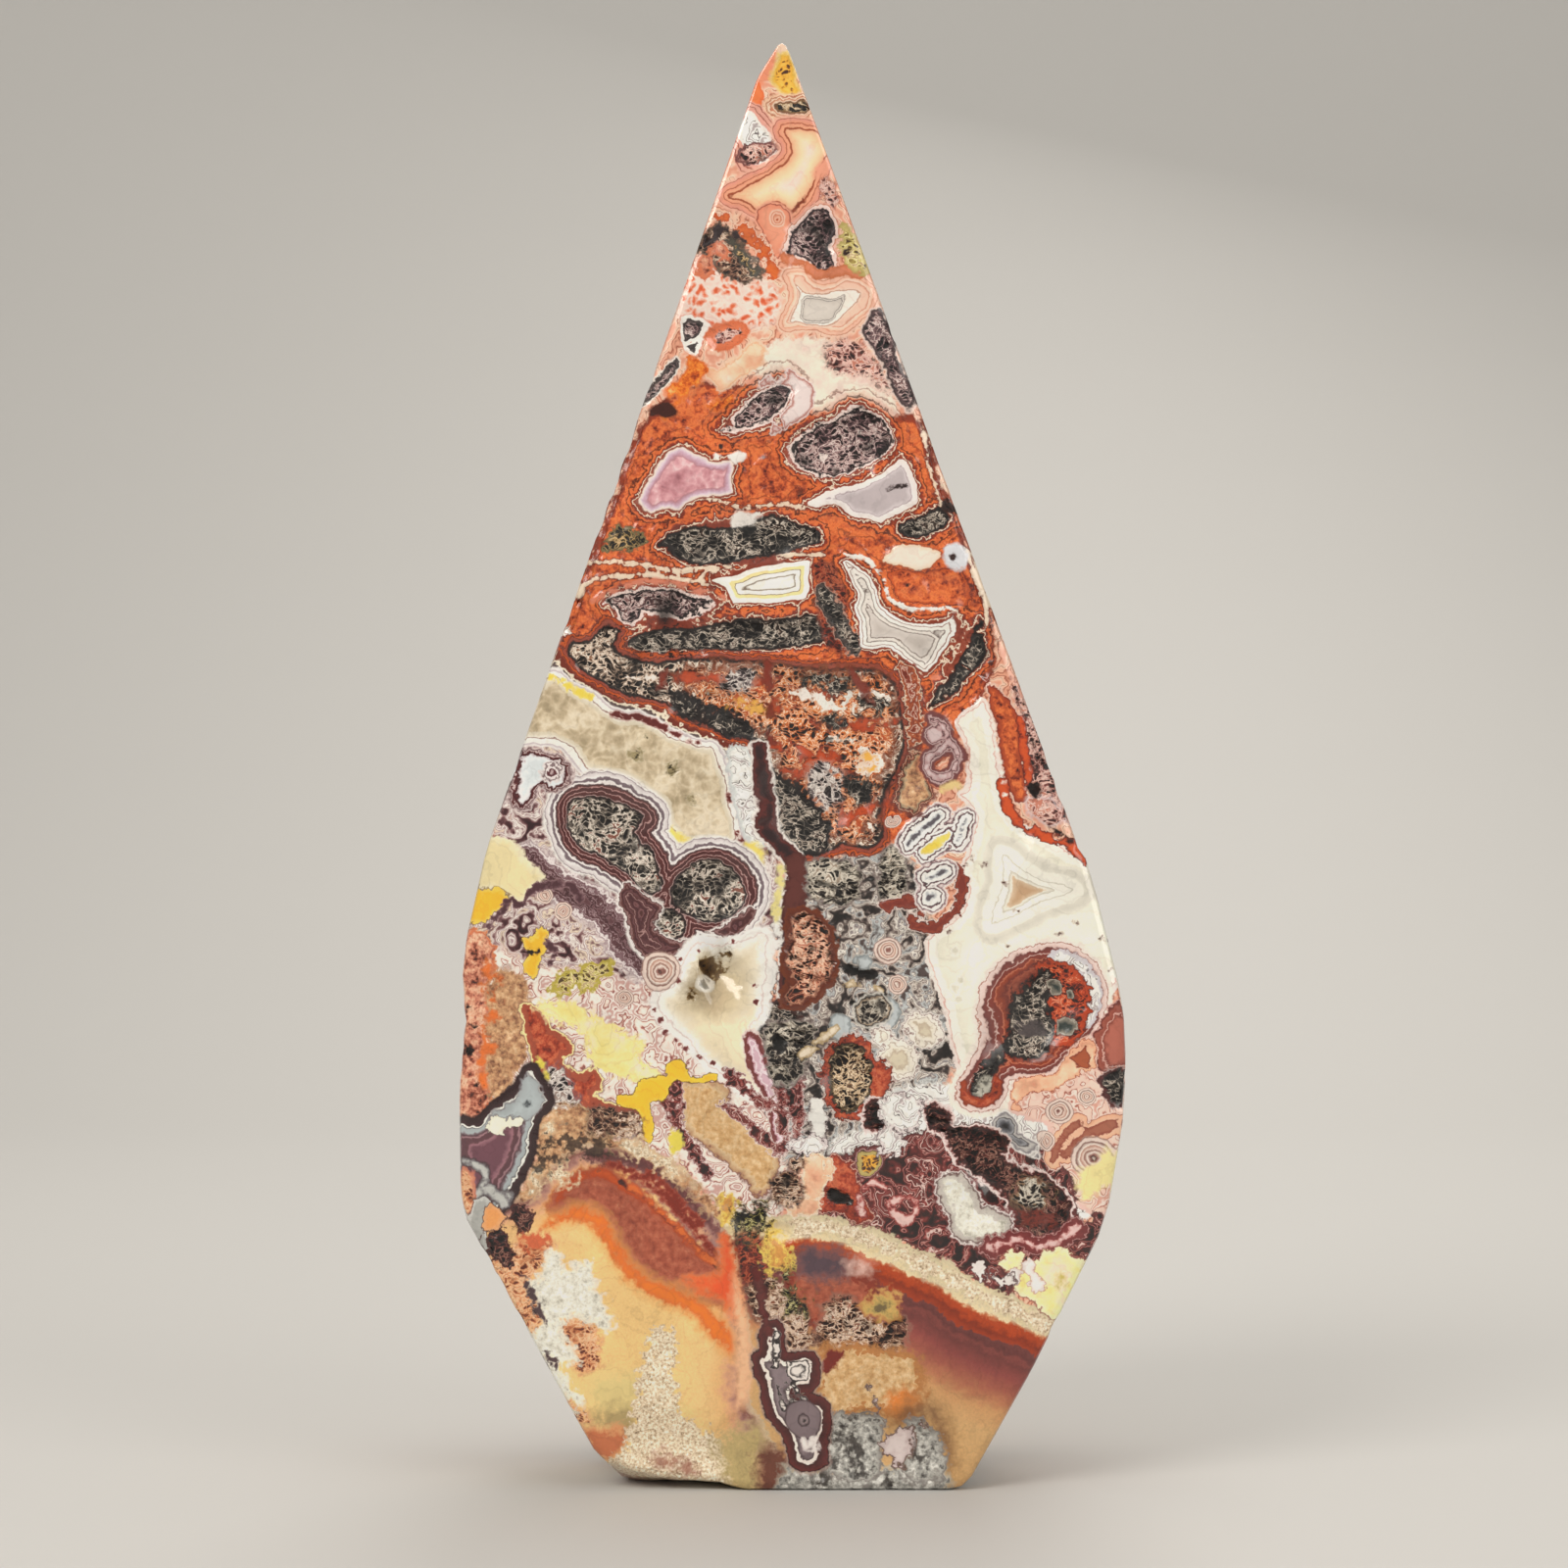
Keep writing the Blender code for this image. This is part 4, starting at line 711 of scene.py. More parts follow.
layer("edgeRed", [
    "area 1010,700 1020,705 1035,725 1040,740 1042,770 1045,790 1048,810 1042,820 1032,810 1025,795 1022,770 "
    "1020,750 1015,730 1008,712"],
    "-0.9 C05C34 | -0.2 B5532F | 0.05 8A3424 | 0.15 E8C8B8 | 0.4 E8C8B8 0", paint="rust", paintEdge=-0.35,
    grain=0.3, wobble=1.2)
layer("edgePink", [
    "area 1034,700 1046,720 1062,760 1080,800 1092,830 1084,836 1064,828 1050,812 1046,780 1042,740"],
    "-0.3 DDB0A4 | 0.3 DDB0A4 0", paint="rosePores", porous=0.7, wobble=1.5)
layer("edgeOrange", [
    "line 2 1040,735 1046,768 1050,800", "line 2.6 1022,800 1030,825 1045,845 1075,855 1092,866 1108,878"],
    "-0.1 D8602F | 0.1 C0502C | 0.25 6A2418 | 0.35 6A2418 0", wobble=1.2)
layer("edgeBeads", [
    "spot 1013,740 2", "spot 1016,752 2", "spot 1018,764 2", "spot 1019,776 2", "spot 1020,788 2",
    "spot 1023,800 2", "spot 1026,812 2"],
    "-0.1 F6F0E6 | 0.15 F6F0E6 0")
layer("edgeLilac", ["area 1046,816 1062,814 1080,822 1086,838 1064,842 1050,832"],
    "-0.3 D9C9CC | 0.3 D9C9CC 0", paint="rosePores", porous=0.4)
# painted shade: near-black in a pit and along the crack by the right edge
layer("edgePit", [
    "area 1050,801 1058,799 1063,808 1058,816 1051,812", "line 1.6 1052,842 1066,846 1080,852 1090,862"],
    "-0.1 2A0F0C | 0.2 5A1E14 0", porous=0.9, rugged=2.0)
layer("rightClastRim", [
    "area 1015,995 1034,977 1054,970 1081,967 1104,977 1117,995 1123,1018 1119,1045 1104,1064 1085,1081 "
    "1069,1094 1038,1097 1027,1098 1023,1118 1008,1129 987,1127 981,1112 992,1091 1002,1072 1004,1043 "
    "1004,1014"],
    "-2.3 8A3A24 | -1.9 AA5A40 | -1.75 7A3024 | -1.3 A04A2C | -1.15 C87C60 | -1.05 8A3A2A | "
    "-0.7 8A4034 | -0.62 E0C4BC | -0.5 8A4A42 | -0.1 7A4440 | 0.05 E3C8C0 | 0.5 EAD8D2 | 0.62 A86A58 | "
    "0.7 F0E4DC | 1.2 F3ECE0 | 1.5 F3ECE0 0")
layer("dottedRim", ["line 6 1078,976 1098,984 1110,1002 1114,1024 1110,1040"],
    "-0.4 DDDDE2 | 0.2 D0C8CC | 0.35 9A5A50 0", paint="whiteLace", wobble=1.5)
layer("rightOrange", [
    "area 1050,990 1064,981 1082,984 1100,996 1109,1018 1106,1044 1096,1062 1076,1068 1062,1056 1056,1030"],
    "-0.6 CB5428 | 0 B84A24 | 0.15 6A2418 | 0.3 6A2418 0", paint="orangeClast", paintEdge=-0.3, porous=0.4,
    wobble=1.8)
# painted shade: dark slate in the right clast, standing in for the shade of its deep hole
layer("rightBlack", [
    "area 1024,1020 1040,1004 1056,990 1066,994 1064,1010 1052,1016 1058,1040 1066,1056 1062,1074 1040,1082 "
    "1018,1080 1008,1100 1004,1118 992,1116 996,1100 1008,1080 1018,1060 1020,1040"],
    "-0.3 3A3230 | 0.1 1A1414 | 0.25 6A2A1C | 0.4 6A2A1C 0", paint="slate", porous=1.0, wobble=1.8)
layer("rightEyes", ["area 1064,1044 1076,1040 1092,1042 1098,1050 1088,1056 1070,1056", "spot 1061,1006 9",
                    "sharp 1080,1010 1086,1008 1092,1016 1082,1020"],
    "-0.6 3A4440 | -0.2 8A8478 | 0 B8B0A4 | 0.1 4A201A | 0.25 4A201A 0", porous=0.4)
layer("rightSlate", ["area 1022,1042 1038,1041 1054,1044 1054,1056 1024,1057"], "-0.1 5F5656 | 0.15 5F5656 0")
layer("rightTail", ["area 1004,1098 1014,1098 1012,1112 1004,1120 994,1118 996,1110"],
    "-0.3 C4C0B4 | 0.1 2A2420 | 0.2 2A2420 0", porous=0.8)
layer("tailBand", ["line 3 984,1108 988,1122 1004,1126 1016,1116 1018,1100"],
    "-0.2 B4522E | 0.15 8A3A24 | 0.3 8A3A24 0", paint="redMix", wobble=1.4)
layer("edgeSwirl", ["area 1146,1018 1136,1026 1124,1042 1117,1060 1118,1080 1126,1092 1150,1092 1156,1050"],
    "-1.4 B87060 | -1.0 8A4438 | -0.85 E0B4A8 | -0.7 9A5244 | -0.3 A86050 | 0 6A2E2A | 0.12 D8A8A0 | "
    "0.3 D8A8A0 0", wobble=1.2)
layer("edgeHollow", ["area 1122,1102 1134,1094 1150,1092 1152,1118 1142,1128 1130,1120"],
    "-0.7 1A1212 | -0.3 2E1E1E | -0.05 5A3030 | 0.2 6A3A36 | 0.3 C8B0AC | 0.5 C8B0AC 0", paint="slate",
    paintEdge=-0.2, porous=0.9, rugged=1.0, wobble=1.8)

# lower right: pink lace, orbs, maroon porous clasts
layer("peachBand", ["area 1032,1120 1038,1104 1056,1100 1074,1098 1084,1086 1092,1078 1104,1066 1114,1064 "
                    "1114,1090 1098,1096 1080,1110 1060,1112 1044,1118 1040,1132"],
    "-0.5 F6C4A4 | 0 F0B898 | 0.1 A8543C | 0.2 F0CDBE | 0.4 F0CDBE 0", paint="peachCloud", wobble=1.4)
layer("brownCore", ["sharp 1095,1080 1108,1070 1112,1090 1100,1090"],
    "-0.1 B0603F | 0.1 8A4030 | 0.2 F3C0A0 0.8 | 0.4 F3C0A0 0")
layer("peachWedge", [
    "area 1084,1178 1097,1165 1111,1153 1136,1143 1139,1151 1128,1157 1111,1160 1099,1172 1091,1180",
    "line 3 1072,1186 1084,1160 1100,1146"],
    "-0.2 B0705A | 0.05 9A5040 | 0.15 F3C4A8 | 0.6 F0BC9C | 0.7 A85A44 | 0.8 F0D4C8 | 1.0 F0D4C8 0",
    wobble=0.8)
layer("orbs", [
    "spot 1116.5,1182 21", "spot 1109,1120 9", "spot 1080,1134 13", "spot 1066,1165 10",
    "spot 673.6,991 19", "spot 905,971 13", "spot 915,1004 10", "spot 638,1018 8", "spot 575,930 9",
    "spot 555,915 8", "spot 517,988 5", "spot 910,840 7", "spot 863.6,1203 8"],
    "0 E8D8CC | 0.12 5A3A36 | 0.2 A87A70 | 0.3 F0E2D8 | 0.42 9A6A5C | 0.48 EBD6CA | 0.62 C09484 | "
    "0.68 F3E6DC | 0.82 8A6258 | 0.88 EBDAD0 | 1.0 E3CEC4 | 1.06 8A6258 0.8 | 1.12 E3CEC4 0", ringed=True,
    wobble=0.2)
layer("greyOrb", ["spot 1025,1149 10", "line 5 1030,1164 1040,1169 1050,1174"],
    "-0.9 1E1A1E | -0.5 6A6A70 | -0.2 A8A8AC | -0.1 4A4448 | 0.05 D0CCC8 | 0.3 8A8488 | 0.45 F0ECE8 | "
    "0.7 F0ECE8 0", wobble=0.6)
layer("paleYellow", ["area 1100,1196 1118,1190 1132,1170 1136,1196 1128,1212 1108,1224 1100,1214"],
    "-0.4 F3E6A8 | 0.4 F0E2B4 0", wobble=2.0)
layer("maroonClasts", [
    "area 970,1157 988,1153 1015,1157 1020,1167 1015,1180 1022,1192 1040,1195 1059,1203 1072,1211 "
    "1082,1218 1092,1228 1090,1238 1088,1249 1076,1261 1057,1266 1045,1261 1030,1247 1028,1234 1015,1218 "
    "1002,1204 990,1193 976,1180 968,1168", "area 944,1134 956,1132 968,1142 966,1156 952,1152 946,1144",
    "area 886,1126 902,1128 908,1142 896,1154 884,1148"],
    "-0.5 3A1E1C | 0 4A2622 | 0.12 7A3A34 | 0.3 E0C8C4 | 0.5 EDE0DC | 0.7 EDE0DC 0", paint="darkMaroon",
    paintEdge=-0.2, porous=1.0, wobble=1.8)
layer("clastTan", ["area 1028,1206 1046,1202 1056,1216 1052,1232 1036,1236 1026,1222", "spot 1066,1220 5"],
    "-0.4 B09878 | 0.5 8A6A50 0", paint="greyPores", porous=0.9, wobble=3.0)
layer("clastRed", ["area 1030,1236 1050,1238 1072,1234 1080,1246 1060,1252 1040,1250"],
    "-0.3 7A3020 | 0.5 5A2820 0", porous=0.6, wobble=3.0)
layer("greyPlate", [
    "area 959,1203 976,1199 988,1211 994,1230 1003,1238 1022,1240 1028,1249 1026,1265 1015,1272 999,1268 "
    "984,1265 972,1257 970,1240 961,1226"],
    "-1.0 D6D2CA | -0.1 C8C0B8 | 0.1 6A4A48 | 0.3 EDE4E0 | 0.5 7A3A3A | 0.8 7A3A3A 0", paint="sugar",
    paintEdge=-0.5, grain=0.6, wobble=1.5)
layer("tanOctagon", ["area 878,1178 896,1177 898,1190 888,1200 877,1196"],
    "-0.4 C9B878 | 0 B8A468 | 0.1 4A2A28 | 0.2 C89C98 | 0.3 6A3434 | 0.6 6A3434 0", paint="ochrePits",
    paintEdge=-0.3, wobble=0.8)
layer("redGusset", [
    "area 847,1180 865,1184 874,1203 878,1222 891,1241 872,1247 859,1234 830,1234 838,1213 845,1203"],
    "-0.5 9A3E28 | 0 8A3424 | 0.1 E0B8A8 | 0.2 7A3434 | 0.4 7A3434 0", paint="redMix", grain=0.4, wobble=1.6)
layer("gussetHole", ["area 842,1217 852,1214 866,1220 868,1227 852,1226"],
    "-0.2 17100E | 0.1 3A2018 | 0.2 3A2018 0", porous=0.9, rugged=2.0)
layer("peachBone", [
    "area 820,1178 834,1176 840,1190 838,1212 826,1222 820,1210",
    "area 803,1224 822,1222 834,1228 828,1236 806,1236", "area 841,1184 850,1186 848,1202 842,1200"],
    "-0.4 E3B494 | 0 EBC8A8 | 0.2 F0E0CC | 0.4 F0E0CC 0", paint="peachCloud", grain=0.3, wobble=2.0)
layer("bonePorous", [
    "area 790,1200 806,1196 818,1204 818,1226 800,1232 788,1222",
    "area 806,1184 818,1182 820,1194 808,1196"],
    "-0.3 7A5448 | 0.3 5A3A34 0", paint="brownPores", porous=1.0, wobble=2.0)
layer("whiteKnuckles", [
    "area 803,1166 824,1160 842,1166 838,1176 812,1176",
    "area 905,1120 935,1124 938,1146 922,1158 906,1150", "area 896,1160 916,1156 922,1172 904,1176"],
    "-0.4 F0ECE6 | 0.1 D8CCCC | 0.2 4A3034 | 0.35 4A3034 0", paint="whiteLace", wobble=2.6)
layer("pinkCurl", [
    "line 2 911,1238 922,1246 934,1240 933,1228 920,1224 908,1230", "line 1.6 882,1214 892,1206 904,1212",
    "line 1.6 876,1222 880,1240"],
    "-0.1 EBCAC4 | 0.1 B86A64 | 0.2 8A3A38 | 0.35 8A3A38 0", wobble=1.2)
layer("bandBelow", ["line 1.6 1010,1272 1025,1270 1040,1264 1055,1272 1075,1270 1090,1260 1098,1254"],
    "-0.2 E8C8C4 | 0.05 C88C88 | 0.15 8A4040 | 0.7 7A3838 | 0.8 D0A09C | 0.9 7A3838 0.8 | 1.2 7A3838 0",
    wobble=1.8)
layer("yellowPatch", [
    "area 1040,1318 1036,1302 1045,1296 1060,1288 1068,1280 1085,1276 1097,1285 1101,1297 1094,1312 "
    "1088,1330 1078,1344 1068,1338 1060,1328 1050,1325",
    "area 1022,1284 1036,1280 1042,1286 1034,1296 1024,1294"],
    "-0.9 F0E48C | -0.2 F5F0BC | 0.15 F3ECC8 | 0.3 9A5A50 | 0.5 9A5A50 0", paint="yellowCloud",
    paintEdge=-0.4, wobble=1.6)
layer("yellowBits", ["spot 1050,1293 6", "spot 1057,1311 8", "spot 1034,1302 6"],
    "-0.4 F3EEEA | 0 E8DCD8 | 0.1 C89C8C | 0.2 C89C8C 0", wobble=1.5)
layer("oliveSmudge", ["spot 1082,1306 6"], "-0.4 C8B860 0.9 | 0.5 D8CC78 0", wobble=2.0)
layer("whiteSplinters", [
    "line 2 1000,1288 1010,1300 1022,1310", "line 1.6 994,1290 1002,1306", "spot 1028,1306 4"],
    "-0.1 EDE6E2 | 0.1 5A3438 | 0.25 5A3438 0", wobble=2.0)

# left side
layer("leftCream", [
    "area 490,892 496,860 520,855 532,872 545,885 558,895 548,903 540,915 533,925 520,920 505,912 490,905"],
    "-1.0 EBDDB0 | -0.1 EFE6C8 | 0.2 E8D8C0 0", wobble=1.5)
layer("mustard", [
    "area 481,918 495,908 512,910 520,918 520,925 505,932 500,940 490,942 480,937 478,925",
    "area 535,960 545,955 552,948 560,953 555,965 552,980 548,995 540,998 535,985 540,972"],
    "-0.4 F2C23E | 0.05 F3D468 | 0.15 6A4028 0.8 | 0.3 6A4028 0", wobble=1.5)
layer("plumArc", ["line 2.4 500,945 512,930 520,920 530,925 540,912 552,904 568,902 580,905 592,915",
                  "line 1.6 556,958 566,972 560,985"],
    "-0.1 5A3A40 | 0.1 7A5A60 | 0.3 C8A8A8 0", wobble=1.5)
layer("leftSalmon", ["area 460,955 478,950 500,962 505,1000 503,1060 500,1100 496,1125 484,1140 460,1145"],
    "-0.5 C86A50 | 0.2 D98A60 | 0.5 D99A62 0", paint="salmonMix", grain=0.5, porous=0.2, wobble=2.6)
layer("tanGrain", ["area 503,1000 520,992 538,1004 542,1040 538,1080 520,1110 502,1120 500,1060"],
    "-0.3 C9A480 | 0.4 C9A480 0", paint="tanBrown", grain=0.9, porous=0.3, rugged=0.4, wobble=3.0)
layer("leftOrange", ["line 2.4 498,990 504,1016 503,1046 496,1080 494,1104"],
    "-0.2 E8803C | 0.2 DD8048 0.8 | 0.6 DD9468 0", grain=0.3, wobble=3.0)
layer("leftPits", [
    "spot 478,1030 3", "spot 485,1045 3", "spot 478,1073 4", "spot 487,1107 3", "line 2 536,972 546,970"],
    "-0.1 2A120E | 0.2 5A2A20 0", porous=0.9, wobble=2.0)
layer("redWedge", [
    "area 532,1025 548,1030 562,1050 578,1062 583,1072 574,1080 580,1092 594,1100 600,1092 612,1096 "
    "612,1112 604,1118 622,1128 640,1130 660,1138 650,1146 620,1138 596,1130 580,1122 562,1108 548,1090 "
    "540,1066 534,1044"],
    "-0.8 A0503A | -0.05 B05A42 | 0.08 F0E0A8 | 0.2 F0E0A8 | 0.3 8A5A4E 0.7 | 0.5 8A5A4E 0", paint="redMix",
    paintEdge=-0.5, grain=0.4, wobble=1.2)
layer("mauveGrain", ["area 556,1092 572,1086 584,1110 592,1128 570,1132 556,1124"],
    "-0.3 8A6A70 | 0.4 8A6A70 0", paint="chaos", grain=0.8, porous=0.4, wobble=2.5)
layer("oliveYellow", [
    "area 568,1004 578,992 590,996 600,988 610,984 622,980 624,990 614,998 608,1006 600,1014 588,1008 "
    "578,1016 566,1014"],
    "-0.4 D0C058 | 0.1 B8A850 | 0.4 D9C860 0", paint="oliveMix", wobble=2.5)
layer("yellowStreaks", [
    "area 548,1026 575,1026 595,1033 612,1042 632,1052 652,1065 652,1080 668,1098 650,1100 630,1095 612,1088 "
    "600,1070 590,1050 566,1040"],
    "-0.8 F6E486 | 0 F3E4A0 | 0.6 F0E0C0 0", paint="yellowCloud", wobble=3.0)
layer("yellowVein", [
    "area 645,1120 650,1108 655,1102 668,1102 680,1100 678,1092 685,1085 692,1083 698,1090 702,1098 715,1100 "
    "728,1096 729,1103 705,1104 690,1100 682,1112 680,1120 665,1122 662,1130 666,1150 662,1165 655,1160 "
    "655,1145 650,1135 635,1130 628,1126 632,1121"],
    "-0.3 F6C93A | 0.05 F3D050 | 0.12 7A5A20 | 0.25 7A5A20 0")
layer("yellowSmall", [
    "area 684,1160 690,1151 695,1158 693,1172 686,1176", "line 2 552,1084 556,1096 553,1104"],
    "-0.2 E8D860 | 0.3 E8D890 0", wobble=2.0)
layer("speckledBrown", ["area 598,1132 640,1134 654,1142 652,1160 620,1164 598,1158"],
    "-0.3 7A5A50 | 0.4 7A5A50 0", paint="brownPores", grain=0.8, porous=0.3, wobble=2.0)
layer("tanRim", [
    "area 545,1145 580,1128 596,1135 600,1160 650,1166 680,1186 712,1212 735,1236 724,1236 690,1204 "
    "650,1178 604,1170 575,1180 556,1206 540,1228 532,1215 545,1185"],
    "-0.4 CFB08C | 0.5 C8A888 0", paint="tanBrown", grain=0.9, porous=0.2, rugged=0.5, wobble=3.5)
layer("tanGlints", [
    "spot 560,1150 7", "spot 572,1196 8", "spot 548,1206 7", "line 3 640,1168 668,1180 690,1196"],
    "-0.3 E8D0AC | 0.6 DDBE9C 0", paint="sand", grain=0.6, wobble=5.0)
layer("blackSpeckle", ["line 4 548,1170 570,1166 590,1168 610,1174", "line 2 552,1186 566,1182"],
    "-0.3 3A2E28 0.85 | 0.7 6A5444 0", grain=0.8, rugged=0.8, wobble=7.0)
layer("blueAgate", [
    "area 541,1092 550,1110 557,1125 548,1137 542,1150 538,1175 528,1198 521,1214 514,1228 500,1236 470,1232 "
    "462,1190 462,1150 488,1148 500,1137 517,1123 533,1110"],
    "-2.6 7A505C | -2.2 A87A84 | -2.0 6E4A50 | -1.6 6A464E | -1.45 B08A90 | -1.2 5E4048 | -1.0 8A7A80 | "
    "-0.8 B4BCBE | -0.4 AEB4B6 | -0.3 5A5458 | -0.22 EDEDE6 | -0.08 EDEDE6 | 0 4A3034 | 0.4 3A2224 | "
    "0.9 3A2224 | 1.2 3A2224 0", wobble=0.8)
layer("blueHead", ["area 538,1098 548,1112 553,1124 546,1136 530,1142 508,1146 502,1140 518,1128 532,1114"],
    "-0.8 B9C1C3 | 0 AEB4B6 | 0.2 8A8488 0.8 | 0.4 8A8488 0", wobble=1.2)
layer("blueSpot", ["spot 538,1126 3.4"], "-0.1 4A5054 | 0.2 7A8084 0")
layer("whiteBlobs", ["spot 508,1149 8.5", "spot 526,1144 6"],
    "-0.3 F3EFDC | 0.05 EFEAD8 | 0.15 6A5A5C 0.7 | 0.3 6A5A5C 0", wobble=1.5)
layer("leftHook", [
    "line 2.4 478,1186 492,1192 496,1202 490,1214 484,1228",
    "line 2.4 483,1222 495,1213 508,1222 515,1230 520,1220"],
    "-0.15 C8C8C4 | 0.1 8A8688 | 0.3 4A3A3E 0.8 | 0.5 4A3A3E 0")
layer("leftSalmonSlip", ["area 466,1196 480,1197 482,1230 478,1250 468,1240"],
    "-0.3 E8A888 | 0.2 C8806A | 0.4 C8806A 0", paint="peachPits", porous=0.4)
layer("greySlip", ["area 484,1228 496,1226 498,1244 490,1262 482,1250", "line 3 488,1254 494,1268 498,1278"],
    "-0.2 B4B4B0 | 0.1 D8D8D4 | 0.2 4A3A3E 0.8 | 0.4 4A3A3E 0")
layer("darkPurple", [
    "area 498,1262 512,1258 522,1276 520,1292 506,1286",
    "area 523,1240 532,1228 541,1240 540,1256 530,1257"],
    "-0.3 4A3034 | 0.1 5A2A24 | 0.3 5A2A24 0", paint="darkMaroon", porous=0.5, wobble=2.4)
layer("peachBlob", ["area 497,1232 508,1234 514,1243 510,1252 502,1257 494,1254 495,1244"],
    "-0.5 EDA868 | 0 E8B080 | 0.1 5A3A38 | 0.25 5A3A38 0", grain=0.4)
layer("orangeBits", ["area 532,1262 560,1258 560,1270 540,1276"],
    "-0.3 D9744C | 0.4 D98A5C 0", grain=0.5, wobble=3.0)
print("layers drawn:", len(layers), "shapes:", sum(len(item["shapes"]) for item in layers))

